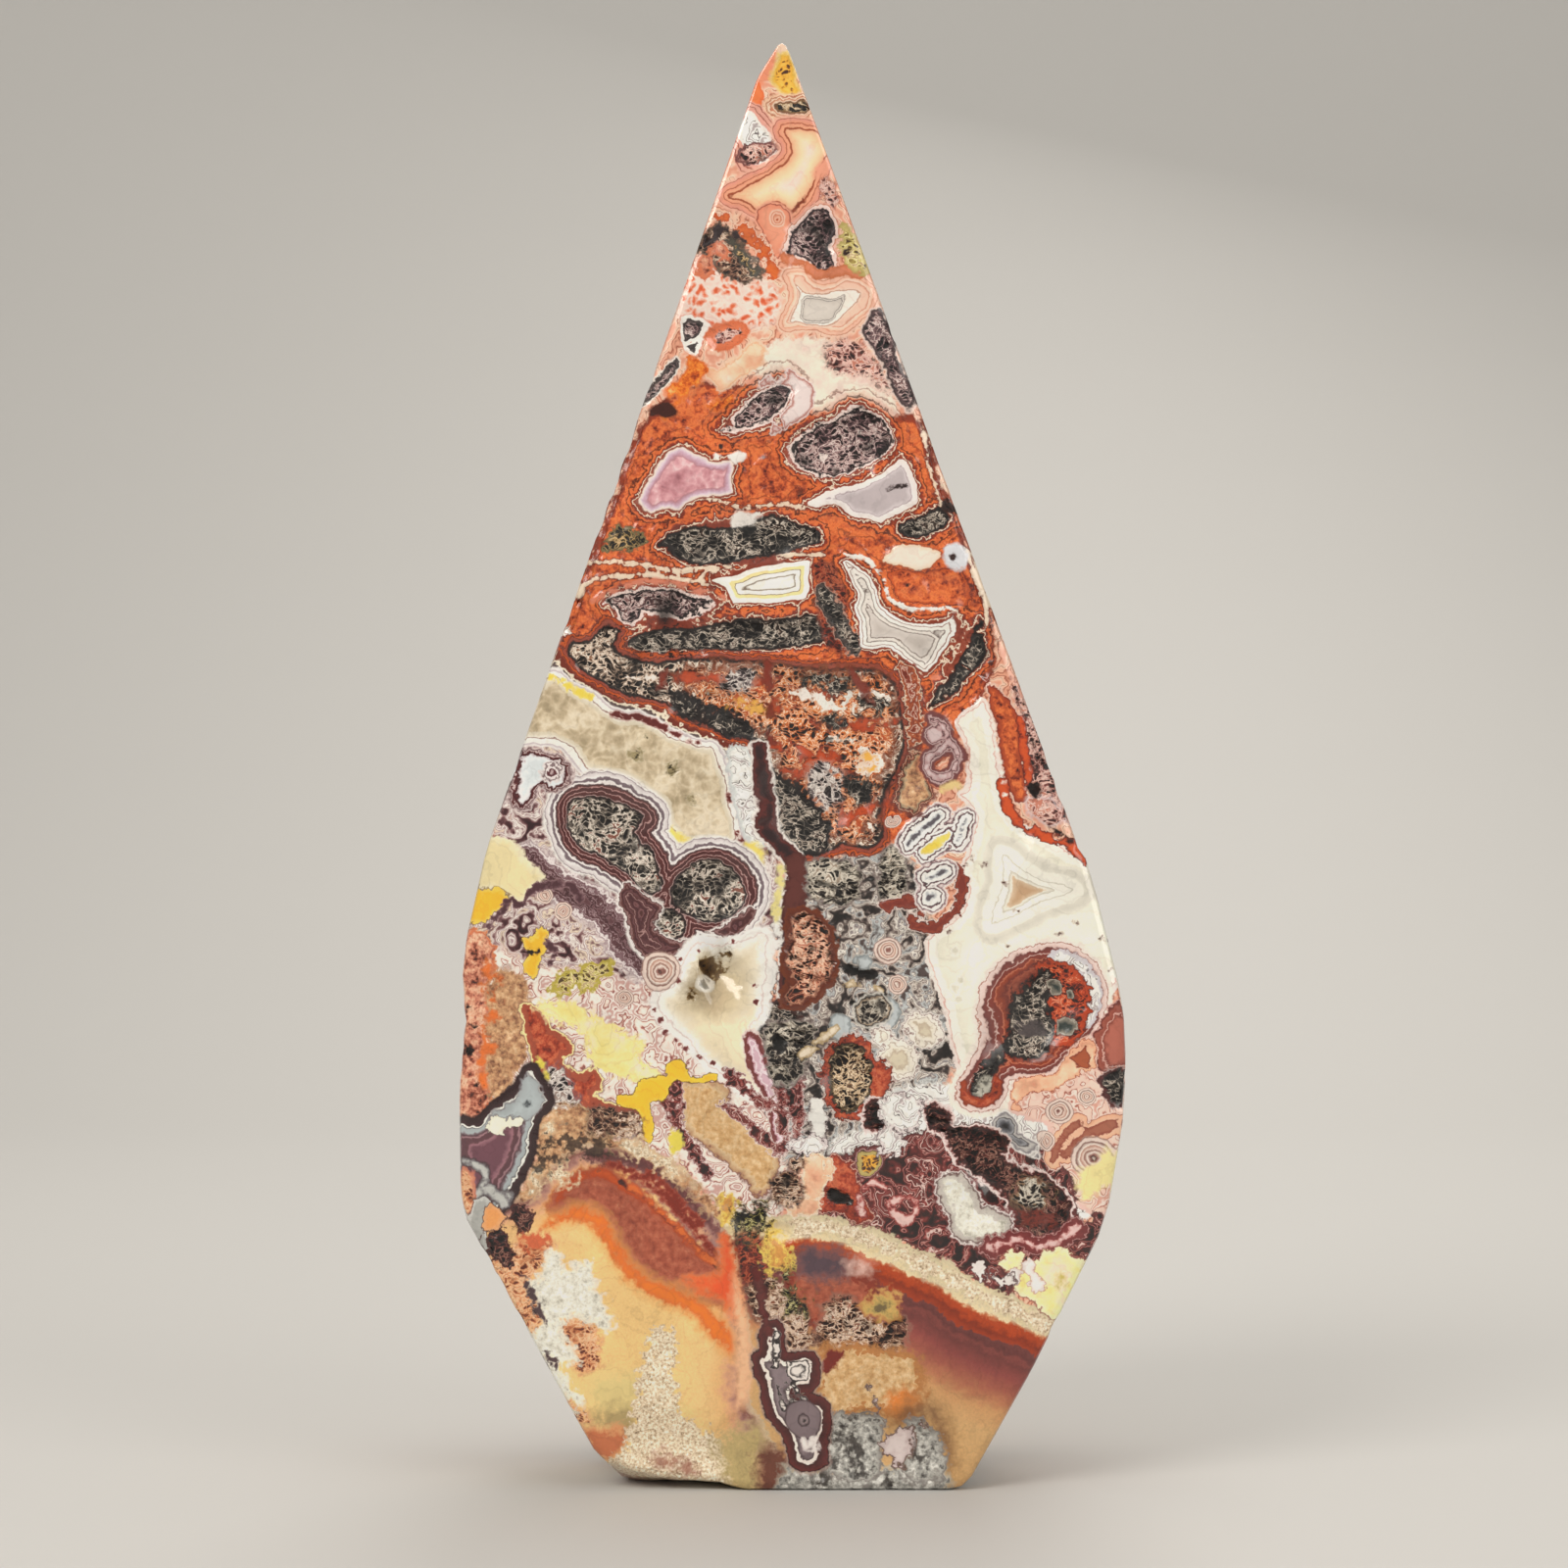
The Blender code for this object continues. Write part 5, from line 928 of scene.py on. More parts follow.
# what each procedural paint reads, and its colours from low to high
paints = {
    "peachLace": ("bands", "0 E3A48C | 0.2 F0C4AC | 0.42 F3D6C2 | 0.5 B87458 | 0.56 F0CDB6 | "
                           "0.8 EDB89E | 0.9 A8604A | 1 E8AE94"),
    "creamCloud": ("cloud", "0.2 F7F1E6 | 0.5 F3E8D8 | 0.62 EAD8CC | 0.8 D9B8B0"),
    "rosePores": ("pits", "0.2 3A2022 | 0.38 8A5048 | 0.5 D9A99F | 0.62 EBD2C8 | 0.8 C88470"),
    "rust": ("rough", "0.22 3E140C | 0.33 8A3620 | 0.42 C05C32 | 0.52 DC7440 | 0.62 E8864C | "
                      "0.72 D0683A | 0.85 F0A06A"),
    "mauveLace": ("murk", "0.1 3E2226 | 0.24 5E3A3E | 0.33 8A6668 | 0.41 B89E9C | 0.47 EBE0DA | "
                          "0.53 9A7A7C | 0.58 E0D2CC | 0.64 F3ECE6 | 0.71 B09498 | 0.8 EBDCC8 | "
                          "0.9 8A6A6A"),
    "roseLace": ("fineBands", "0 F3EBE2 | 0.3 EBD8CC | 0.46 B87A70 | 0.54 8A4A48 | 0.62 E6CCC4 | "
                              "0.85 F3EDE6 | 1 D0A8A0"),
    "chaos": ("pits", "0.2 140E10 | 0.36 4A3E40 | 0.46 8A7C7C | 0.54 C4BAB4 | 0.64 EDE6E0 | 0.8 A08C84"),
    "whiteLace": ("fineBands", "0 F3F1EC | 0.4 EFEDE8 | 0.49 5A4A50 | 0.53 2E2226 | 0.58 E6E2DE | "
                               "0.9 F5F3EF | 1 B8ACAC"),
    "pinkLace": ("fineBands", "0 F3D4C6 | 0.3 F0CDBE | 0.46 B87868 | 0.52 A86456 | 0.6 F0D2C6 | "
                              "0.85 F3E0D6 | 1 DCA898"),
    "maroonSwirl": ("murk", "0.1 241010 | 0.28 43201E | 0.38 6A2C2A | 0.45 8E4440 | 0.5 C8948C | "
                            "0.54 6A2C2C | 0.6 4A2022 | 0.66 A04A44 | 0.72 E8D0C8 | 0.77 6A2E2C | "
                            "0.9 8A4440"),
    "brickGrain": ("grain", "0.25 8A3E2C | 0.45 A85840 | 0.6 B86A50 | 0.8 C88868"),
    "brownPores": ("pits", "0.2 241410 | 0.38 5A3A30 | 0.5 8A6450 | 0.62 C8AC94 | 0.75 E6D4C4 | 0.9 8A5A44"),
    "tanCloud": ("grain", "0.2 B0804E | 0.45 D2AC7A | 0.6 E0C298 | 0.8 EDD6B2"),
    "peachPits": ("pits", "0.2 7A4030 | 0.36 C88058 | 0.5 E8B084 | 0.65 F3CDA8 | 0.8 DDA078"),
    "sugar": ("grain", "0.25 A8A498 | 0.4 DDD9CC | 0.55 F0EEE2 | 0.8 FAF8F0"),
    "sand": ("dust", "0.25 A08A72 | 0.40 D6C0A2 | 0.52 EBDAC0 | 0.75 FCF4E4"),
    "greyDruse": ("grain", "0.25 4A4644 | 0.4 8A8884 | 0.52 B8B6B0 | 0.65 DEDCD6 | 0.8 F0EEE8"),
    "rustSpots": ("pits", "0.25 3A140C | 0.42 6A2416 | 0.55 9A4028 | 0.68 C07050 | 0.8 5A2018"),
    "ochrePits": ("pits", "0.25 5A3A28 | 0.38 A87430 | 0.46 EDB344 | 0.7 F3C45C"),
    "speckle": ("speck", "0 D2542F | 0.25 E07A54 | 0.4 EBB09C | 0.6 F3DED4 | 1 F0D2C6"),
    "lava": ("pits", "0.2 160E11 | 0.34 3A282C | 0.44 5E464A | 0.52 866A6C | 0.6 B89C98 | 0.68 EBDDD8 | "
                     "0.76 A07C78 | 0.9 5A4244"),
    "amethyst": ("crystal", "0.25 A87078 | 0.42 CC929A | 0.55 DEACB2 | 0.68 EED0D2 | 0.8 DEB4BA"),
    "slate": ("pits", "0.2 080707 | 0.34 1E1B1A | 0.44 363230 | 0.53 5C5650 | 0.61 A09488 | "
                      "0.69 E0D6CA | 0.76 6A564C | 0.9 2E2622"),
    "slateCream": ("pits", "0.2 0E0A09 | 0.32 342C28 | 0.41 6A5A4E | 0.49 A08A7A | 0.57 DCC8B6 | "
                           "0.66 F8EEE2 | 0.76 B48C70 | 0.9 6A4C3C"),
    "rustPores": ("pits", "0.2 1A0E0A | 0.3 4A2A1C | 0.38 9A5230 | 0.46 C8703A | 0.54 DE8C48 | "
                          "0.61 F3E2D2 | 0.67 E09A62 | 0.85 BC5A30"),
    "quartz": ("crystal", "0.3 B4A488 | 0.42 C9B89C | 0.52 DCCDB2 | 0.62 E8DCC6 | 0.75 D0C0A6"),
    "lumpCore": ("pits", "0.2 14110F | 0.34 3A3430 | 0.44 6E645C | 0.53 A0968A | 0.62 D8CEC2 | "
                         "0.7 EEE6DC | 0.8 8A5A4C"),
    "pinkPores": ("pits", "0.25 2A1210 | 0.4 7A3E30 | 0.48 C88468 | 0.58 E3B094 | 0.7 F3D4BE | 0.85 C08068"),
    "greyPores": ("pits", "0.25 1A1412 | 0.4 5A504A | 0.48 9A9084 | 0.58 C4BCAE | 0.7 E3DCD0 | 0.85 A89888"),
    "olivePores": ("pits", "0.25 0C0A08 | 0.4 2E2818 | 0.48 6A5A38 | 0.58 B89A68 | 0.68 DDBE94 | 0.8 5A4A30"),
    "orangeClast": ("pits", "0.25 3A120A | 0.4 8A3018 | 0.5 C8522A | 0.62 D8683A | 0.72 E8A080 | "
                            "0.85 B8482A"),
    "darkMaroon": ("pits", "0.25 0C0606 | 0.4 241212 | 0.5 4A2422 | 0.6 6E3A34 | 0.7 B08C7C | "
                           "0.78 5A2C28 | 0.9 2A1414"),
    "oliveMix": ("pits", "0.3 5E4A34 | 0.4 A08A50 | 0.5 CDC070 | 0.6 EEE4B0 | 0.72 B09068 | 0.85 D8C4A0"),
    "greyLace": ("murk", "0.1 1E1614 | 0.24 3A302E | 0.33 6A5C58 | 0.4 A0938C | 0.46 DDD4CA | "
                         "0.51 7A6C6A | 0.56 B8ACA4 | 0.62 F0EBE2 | 0.69 8A7C7C | 0.76 C8CCCC | "
                         "0.9 5A4C4A"),
    "creamPores": ("pits", "0.25 0E0A0A | 0.38 3A2C24 | 0.46 7A644C | 0.54 CDB08C | 0.63 F0DEC4 | "
                           "0.75 9A7A5C | 0.88 5A4434"),
    "greenPores": ("pits", "0.2 0A0908 | 0.42 1E1C14 | 0.52 4E4A2A | 0.6 9A9050 | 0.7 E0D8A8 | 0.8 3A3420"),
    "ember": ("rough", "0.25 8A3414 | 0.38 D0621E | 0.5 F08C34 | 0.62 F5A850 | 0.78 F0C080"),
    "peachCloud": ("cloud", "0.25 DE9C82 | 0.42 EEBC9C | 0.55 F5D2B4 | 0.68 F6DECC | 0.85 E8AE98"),
    "salmonMix": ("rough", "0.25 4A2420 | 0.36 A05A44 | 0.46 CE8870 | 0.56 E6AE90 | 0.68 F0C8AC | "
                           "0.82 BC7458"),
    "tanBrown": ("grain", "0.25 7A5040 | 0.42 B48664 | 0.55 D2A880 | 0.7 E8C8A2"),
    "redMix": ("rough", "0.25 5A1E14 | 0.4 943A26 | 0.52 B65034 | 0.64 CE7450 | 0.8 9A4432"),
    "yellowCloud": ("cloud", "0.25 F0DE84 | 0.45 F5EAA8 | 0.6 F0E2C8 | 0.8 E0C8BA"),
}


# mesh and distances
def refinedStone():
    # the CAD solid's own triangles, every long edge halved until all are short; the result stays closed
    source = bmesh.new()
    source.from_mesh(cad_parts["agate_flame"].data)
    bmesh.ops.remove_doubles(source, verts=source.verts, dist=1e-6)
    bmesh.ops.recalc_face_normals(source, faces=source.faces)
    points = np.array([vert.co[:] for vert in source.verts])
    faces = np.array([[vert.index for vert in face.verts] for face in source.faces])
    source.free()
    nearFront = stone["frontPlane"] + stone["frontDepth"]
    for turn in range(stone["halvings"]):
        ends = np.stack([faces, np.roll(faces, -1, axis=1)], 2)
        low = ends.min(2)
        high = ends.max(2)
        flat = (points[low][:, :, 1] < nearFront) & (points[high][:, :, 1] < nearFront)
        limit = np.where(flat, stone["frontEdge"], stone["restEdge"]) * 0.001
        tooLong = np.linalg.norm(points[high] - points[low], axis=2) > limit
        if not tooLong.any():
            break
        names = low * len(points) + high
        halved = np.unique(names[tooLong])
        middle = len(points) + np.searchsorted(halved, names)
        points = np.concatenate([points, (points[halved // len(points)] + points[halved % len(points)]) / 2])
        count = tooLong.sum(1)
        # each face is turned so that its halved edges come first
        first = np.where(count == 2, (np.argmin(tooLong, axis=1) + 1) % 3, np.argmax(tooLong, axis=1))
        order = (first[:, None] + np.arange(3)) % 3
        a, b, c = np.take_along_axis(faces, order, 1).T
        ab, bc, ca = np.take_along_axis(middle, order, 1).T
        one = count == 1
        two = count == 2
        three = count == 3
        straight = two.copy()
        straight[two] = (np.linalg.norm(points[a[two]] - points[bc[two]], axis=1)
                         <= np.linalg.norm(points[ab[two]] - points[c[two]], axis=1))
        other = two & ~straight
        cases = [(one, (a, ab, c)), (one, (ab, b, c)), (two, (ab, b, bc)), (straight, (a, ab, bc)),
                 (straight, (a, bc, c)), (other, (ab, bc, c)), (other, (ab, c, a)), (three, (a, ab, ca)),
                 (three, (ab, b, bc)), (three, (ca, bc, c)), (three, (ab, bc, ca))]
        made = [np.stack([corner[chosen] for corner in triple], 1) for chosen, triple in cases]
        faces = np.concatenate([faces[count == 0], *made])
    return points, faces


def wave(points, size, shift):
    spots = points / size + np.array(shift)
    return np.array([noise.noise(Vector(spot)) for spot in spots])


def drawingPlace(points):
    # the drawing is exact on the polished face and drifts with depth, so sides and back cut new sections
    depth = points[:, 1] - stone["frontPlane"]
    share = np.clip(depth / stone["fullDepth"], 0, 1)
    driftAcross, driftUp = stone["depthDrift"]
    waveAcross, waveUp = stone["depthDriftWave"]
    across = points[:, 0] * (1 - stone["depthClosing"] * share)
    across = across + share * driftAcross * wave(points, waveAcross, (3, 1, 7))
    up = points[:, 2] + stone["depthRise"] * depth + share * driftUp * wave(points, waveUp, (11, 5, 2))
    wander = stone["drawingWarp"] * 0.001
    across = across + wander * wave(points, stone["warpWave"], (0, 9, 4))
    up = up + wander * wave(points, stone["warpWave"], (6, 2, 13))
    fineWander = stone["fineWarp"] * wander
    across = across + fineWander * wave(points, stone["fineWarpWave"], (8, 3, 1))
    up = up + fineWander * wave(points, stone["fineWarpWave"], (2, 7, 5))
    column = stone["middleColumn"] + across * 1000 / stone["pixelSize"]
    row = stone["baseRow"] - up * 1000 / stone["pixelSize"]
    return np.stack([column, row], 1)


def smoothed(points, closed):
    count = len(points)
    steps = np.array([0, 0.25, 0.5, 0.75])[:, None]
    result = []
    for index in range(count if closed else count - 1):
        if closed:
            a, b, c, d = (points[(index + step) % count] for step in (-1, 0, 1, 2))
        else:
            a, b, c, d = (points[min(max(index + step, 0), count - 1)] for step in (-1, 0, 1, 2))
        curve = 2 * b + (c - a) * steps + (2 * a - 5 * b + 4 * c - d) * steps ** 2
        result.append((curve + (3 * b - a - 3 * c + d) * steps ** 3) / 2)
    if not closed:
        result.append(points[-1:])
    return np.concatenate(result)


def shapeDistance(text, places):
    # signed distance in drawing pixels from every place to one shape, below zero inside:
    # an area with rounded corners, a sharp area, or a line with half its width. A spot gives the
    # distance to its centre and its radius
    words = text.split()
    width = 0.0
    if words[0] == "line":
        width = float(words[1])
        words = words[1:]
    if words[0] == "spot":
        centre = np.array([float(v) for v in words[1].split(",")])
        return np.linalg.norm(places - centre, axis=1), float(words[2])
    outline = np.array([[float(v) for v in word.split(",")] for word in words[1:]])
    closed = text.startswith(("area", "sharp"))
    if not text.startswith("sharp") and len(outline) > 2:
        outline = smoothed(outline, closed)
    reach = stone["reach"]
    low = outline.min(0) - reach - width
    high = outline.max(0) + reach + width
    near = np.all((places > low) & (places < high), axis=1)
    result = np.full(len(places), stone["farAway"])
    spots = places[near]
    ends = np.roll(outline, -1, axis=0) if closed else outline[1:]
    starts = outline if closed else outline[:-1]
    best = np.full(len(spots), 1e9)
    inside = np.zeros(len(spots), bool)
    for start, end in zip(starts, ends):
        run = end - start
        offset = spots - start
        along = np.clip((offset @ run) / max(run @ run, 1e-9), 0, 1)
        gap = offset - along[:, None] * run
        best = np.minimum(best, gap[:, 0] ** 2 + gap[:, 1] ** 2)
        if closed and start[1] != end[1]:
            crosses = (start[1] > spots[:, 1]) != (end[1] > spots[:, 1])
            inside ^= crosses & (offset[:, 0] < (spots[:, 1] - start[1]) * run[0] / run[1])
    best = np.sqrt(best) - width
    result[near] = np.where(inside, -best, best) if closed else best
    return result, None


def readStops(text):
    stops = []
    for part in text.split("|"):
        words = part.split()
        stops.append((float(words[0]), words[1], float(words[2]) if len(words) > 2 else 1.0))
    return stops


def layerDistance(item, places):
    best = np.full(len(places), stone["farAway"])
    for text in item["shapes"]:
        gap, radius = shapeDistance(text, places)
        if radius is not None:
            gap = gap / radius if item["ringed"] else gap - radius
        best = np.minimum(best, gap)
    if item["ringed"]:
        return np.minimum(best, 3.0)
    return np.clip(best * stone["pixelSize"], -25, 4.0)


print("refining the stone")
points, faces = refinedStone()
stoneMesh = bpy.data.meshes.new("agate_body")
stoneMesh.from_pydata(points.tolist(), [], faces.tolist())
stoneMesh.update()
normals = np.empty(len(points) * 3)
stoneMesh.vertex_normals.foreach_get("vector", normals)
normals = normals.reshape(-1, 3)
print("stone vertices:", len(points), "triangles:", len(stoneMesh.polygons))

places = drawingPlace(points)
porous = np.zeros(len(points))
grainy = np.zeros(len(points))
rugged = np.zeros(len(points))
for item in layers:
    item["distance"] = layerDistance(item, places)
    marks = readStops(item["stops"])
    cover = np.interp(item["distance"], [mark[0] for mark in marks], [mark[2] for mark in marks])
    porous = porous * (1 - cover) + cover * item["porous"] * (item["distance"] < 0.1)
    grainy = grainy * (1 - cover) + cover * item["grain"]
    rugged = rugged * (1 - cover) + cover * item["rugged"]
print("distances measured")

# open pores: round vesicles cut into the porous clasts, never proud of the stone
pits = np.zeros(len(points))
for index in np.nonzero(porous > 0.15)[0]:
    spot = Vector(points[index] * 1000)
    size = stone["poreCells"] + stone["poreCellsVary"] * noise.noise(spot * 0.12)
    nearest = noise.voronoi(spot * size)[0][0]
    rough = noise.fractal(spot * 1.3, 1.0, 2.0, 2)
    pits[index] = min(max((stone["poreRadius"] - nearest + 0.25 * rough) / stone["poreWall"], 0), 1)
relief = np.zeros(len(points))
for index in np.nonzero(rugged > 0.05)[0]:
    spot = Vector(points[index] * 1000)
    relief[index] = min(max(0.5 + 0.9 * noise.fractal(spot * stone["reliefScale"], 0.9, 2.0, 3), 0), 1)
cut = 0.001 * np.maximum(stone["poreDepth"] * porous * pits, stone["reliefDepth"] * rugged * relief)
points -= normals * cut[:, None]
stoneMesh.vertices.foreach_set("co", points.ravel())


def addNumbers(name, values):
    stoneMesh.attributes.new(name, "FLOAT", "POINT").data.foreach_set("value", values.astype(np.float32))


for item in layers:
    marks = readStops(item["stops"])
    item["low"] = marks[0][0]
    item["span"] = marks[-1][0] - marks[0][0]
    item["last"] = marks[-1][0]
    addNumbers("d_" + item["name"], (item["distance"] - item["low"]) / item["span"])
addNumbers("porous", porous)
addNumbers("grainy", grainy)
addNumbers("pits", pits * porous)
stoneMesh.polygons.foreach_set("use_smooth", np.ones(len(stoneMesh.polygons), bool))
stoneMesh.update()
print("pores cut")


# shader helpers
def linearColour(hexText, alpha=1.0):
    channels = [int(hexText[place:place + 2], 16) / 255 for place in (0, 2, 4)]
    linear = [value / 12.92 if value <= 0.04045 else ((value + 0.055) / 1.055) ** 2.4 for value in channels]
    return (*linear, alpha)


class Wire:
    # one socket, with arithmetic that adds Math nodes
    def __init__(self, graph, socket):
        self.graph = graph
        self.socket = socket

    def math(self, operation, *others):
        return self.graph.node("ShaderNodeMath", {"operation": operation}, dict(enumerate((self, *others))))

    def __add__(self, other):
        return self.math("ADD", other)

    __radd__ = __add__

    def __mul__(self, other):
        return self.math("MULTIPLY", other)

    __rmul__ = __mul__

    def __sub__(self, other):
        return self.math("SUBTRACT", other)

    def __rsub__(self, other):
        return self.graph.node("ShaderNodeMath", {"operation": "SUBTRACT"}, {0: other, 1: self})

    def __truediv__(self, other):
        return self.math("DIVIDE", other)

    def output(self, name):
        return Wire(self.graph, self.socket.node.outputs[name])

    def between(self, low, high):
        return self.graph.node("ShaderNodeMapRange", {"interpolation_type": "SMOOTHSTEP"},
                               {"Value": self, "From Min": low, "From Max": high})


class Graph:
    # the nodes of one material or node group
    def __init__(self, tree):
        self.tree = tree
        tree.nodes.clear()

    def node(self, kind, settings=None, inputs=None, output=0):
        made = self.tree.nodes.new(kind)
        for key, value in (settings or {}).items():
            if key == "stops":
                ramp = made.color_ramp
                while len(ramp.elements) < len(value):
                    ramp.elements.new(1.0)
                for element, (place, colour) in zip(ramp.elements, value):
                    element.position = place
                    element.color = colour
            else:
                setattr(made, key, value)
        for key, value in (inputs or {}).items():
            if isinstance(value, Wire):
                self.tree.links.new(value.socket, made.inputs[key])
            else:
                made.inputs[key].default_value = value
        return Wire(self, made.outputs[output]) if made.outputs else None

    def mix(self, factor, low, high):
        return self.node("ShaderNodeMix", {"data_type": "RGBA"}, {0: factor, 6: low, 7: high}, 2)

    def ramp(self, value, text, scaled=False):
        # colours along a value; returns colour and cover
        marks = readStops(text)
        low = marks[0][0]
        span = marks[-1][0] - low
        stops = [((place - low) / span, linearColour(colour, cover)) for place, colour, cover in marks]
        share = value if scaled or (low == 0 and span == 1) else (value - low) / span
        colour = self.node("ShaderNodeValToRGB", {"stops": stops}, {0: share})
        return colour, colour.output("Alpha")

    def attribute(self, name):
        return self.node("ShaderNodeAttribute", {"attribute_name": name}, {}, "Fac")


def newMaterial(name):
    material = bpy.data.materials.new(name)
    material.use_nodes = True
    return material, Graph(material.node_tree)


def newGroup(name, takes, gives):
    tree = bpy.data.node_groups.new(name, "ShaderNodeTree")
    for side, sockets in (("INPUT", takes), ("OUTPUT", gives)):
        for title, kind in sockets.items():
            tree.interface.new_socket(title, in_out=side, socket_type=kind)
    return Graph(tree)


def stoneFields(graph):
    # slow to fine noise over the stone in millimetres, round lobes and open vesicles
    place = graph.node("ShaderNodeTexCoord", {}, {}, "Object")
    inMillimetres = graph.node("ShaderNodeVectorMath", {"operation": "SCALE"}, {0: place, "Scale": 1000.0})

    def noiseWire(scale, detail, rough=0.5, output=0):
        inputs = {"Vector": inMillimetres, "Scale": scale, "Detail": detail, "Roughness": rough}
        return graph.node("ShaderNodeTexNoise", {}, inputs, output)

    def cellWire(feature, scale, vector):
        inputs = {"Vector": vector, "Scale": scale}
        return graph.node("ShaderNodeTexVoronoi", {"feature": feature}, inputs, "Distance")

    swirl = noiseWire(0.42, 2.0, 0.5, 1)
    bent = graph.node("ShaderNodeVectorMath", {"operation": "MULTIPLY_ADD"},
                      {0: swirl, 1: (3.0, 3.0, 3.0), 2: inMillimetres})
    laid = graph.node("ShaderNodeVectorMath", {"operation": "MULTIPLY"}, {0: bent, 1: (0.75, 1.0, 1.3)})
    return {
        "cloud": noiseWire(0.32, 3.0, 0.55),
        "grain": noiseWire(1.15, 4.0, 0.6),
        "dust": noiseWire(3.2, 2.0, 0.6),
        "slow": noiseWire(0.11, 1.0),
        "lobes": cellWire("F1", 0.95, bent),
        "domes": cellWire("F1", 0.27, bent),
        "vesicles": cellWire("F1", 1.45, laid),
        "web": cellWire("DISTANCE_TO_EDGE", 0.62, laid),
        "walls": cellWire("DISTANCE_TO_EDGE", 1.45, laid),
    }


def paintGroup():
    gives = {"jitter": "NodeSocketFloat", "veins": "NodeSocketFloat"}
    gives.update({name: "NodeSocketColor" for name in paints})
    graph = newGroup("agate_paints", {}, gives)
    noises = stoneFields(graph)
    cloud, grain, dust, slow = (noises[name] for name in ("cloud", "grain", "dust", "slow"))
    lobes, domes, vesicles, web = (noises[name] for name in ("lobes", "domes", "vesicles", "web"))
    septa = web.between(0.10, 0.02) * cloud.between(0.42, 0.58)
    foam = noises["walls"].between(0.09, 0.0) * 0.17 - vesicles.between(0.50, 0.30) * 0.26
    turns = domes * 2.4 + cloud * 2.3 + grain * 0.22
    banded = (turns * 6.2832).math("SINE") * 0.5 + 0.5
    fields = {
        "cloud": cloud,
        "grain": grain,
        "dust": dust,
        "pits": (grain - 0.5) * 0.62 + (cloud - 0.5) * 0.95 + septa * 0.22 + foam + 0.5,
        "rough": (grain - 0.5) * 0.9 + (dust - 0.5) * 0.3 + (cloud - 0.5) * 0.5 + (lobes - 0.5) * 0.25 + 0.5,
        "bands": ((slow * 5.0 + cloud * 2.0) * 6.2832).math("SINE") * 0.5 + 0.5,
        "fineBands": banded,
        "murk": (banded - 0.5) * 0.5 + (cloud - 0.5) * 1.25 + (grain - 0.5) * 0.4 + 0.5,
        "speck": (lobes * 1.1 + grain * 0.8) - 0.45,
        "crystal": cloud * 0.7 + (lobes - 0.5) * 0.3 + (dust - 0.5) * 0.12 + 0.15,
    }
    wires = {name: graph.ramp(fields[field], stops)[0] for name, (field, stops) in paints.items()}
    fineJitter = (grain - 0.5) * 0.8 + (dust - 0.5) * 0.24
    wires["jitter"] = fineJitter + ((cloud - 0.5) * 0.55 + (0.45 - lobes) * 0.42)
    wires["veins"] = ((slow * 9.0 + cloud * 3.2 + grain * 0.2) * 6.2832).math("SINE").between(0.72, 1.0)
    graph.node("NodeGroupOutput", {}, wires)
    return graph.tree


# the polish: values to change
polish = {
    "roughness": 0.16,        # on clean agate; pores and grain add to it
    "porousRoughness": 0.55,
    "grainyRoughness": 0.35,
    "roughest": 0.85,
    "coat": 0.5,
    "coatRoughness": 0.06,
    "refraction": 1.54,
    "specular": 0.45,
    "bumpStrength": 0.5,
    "bumpDistance": 0.0003,   # metres
    "gamma": 1.14,            # deepens the drawn colours
    "lift": 1.13,             # and brightens them again
    "brightest": 0.93,
    "veins": 0.10,            # how much the hairlines darken
    # near-black colour of the painted shade in the pores
    "poreShadeTone": "100A0A",
}


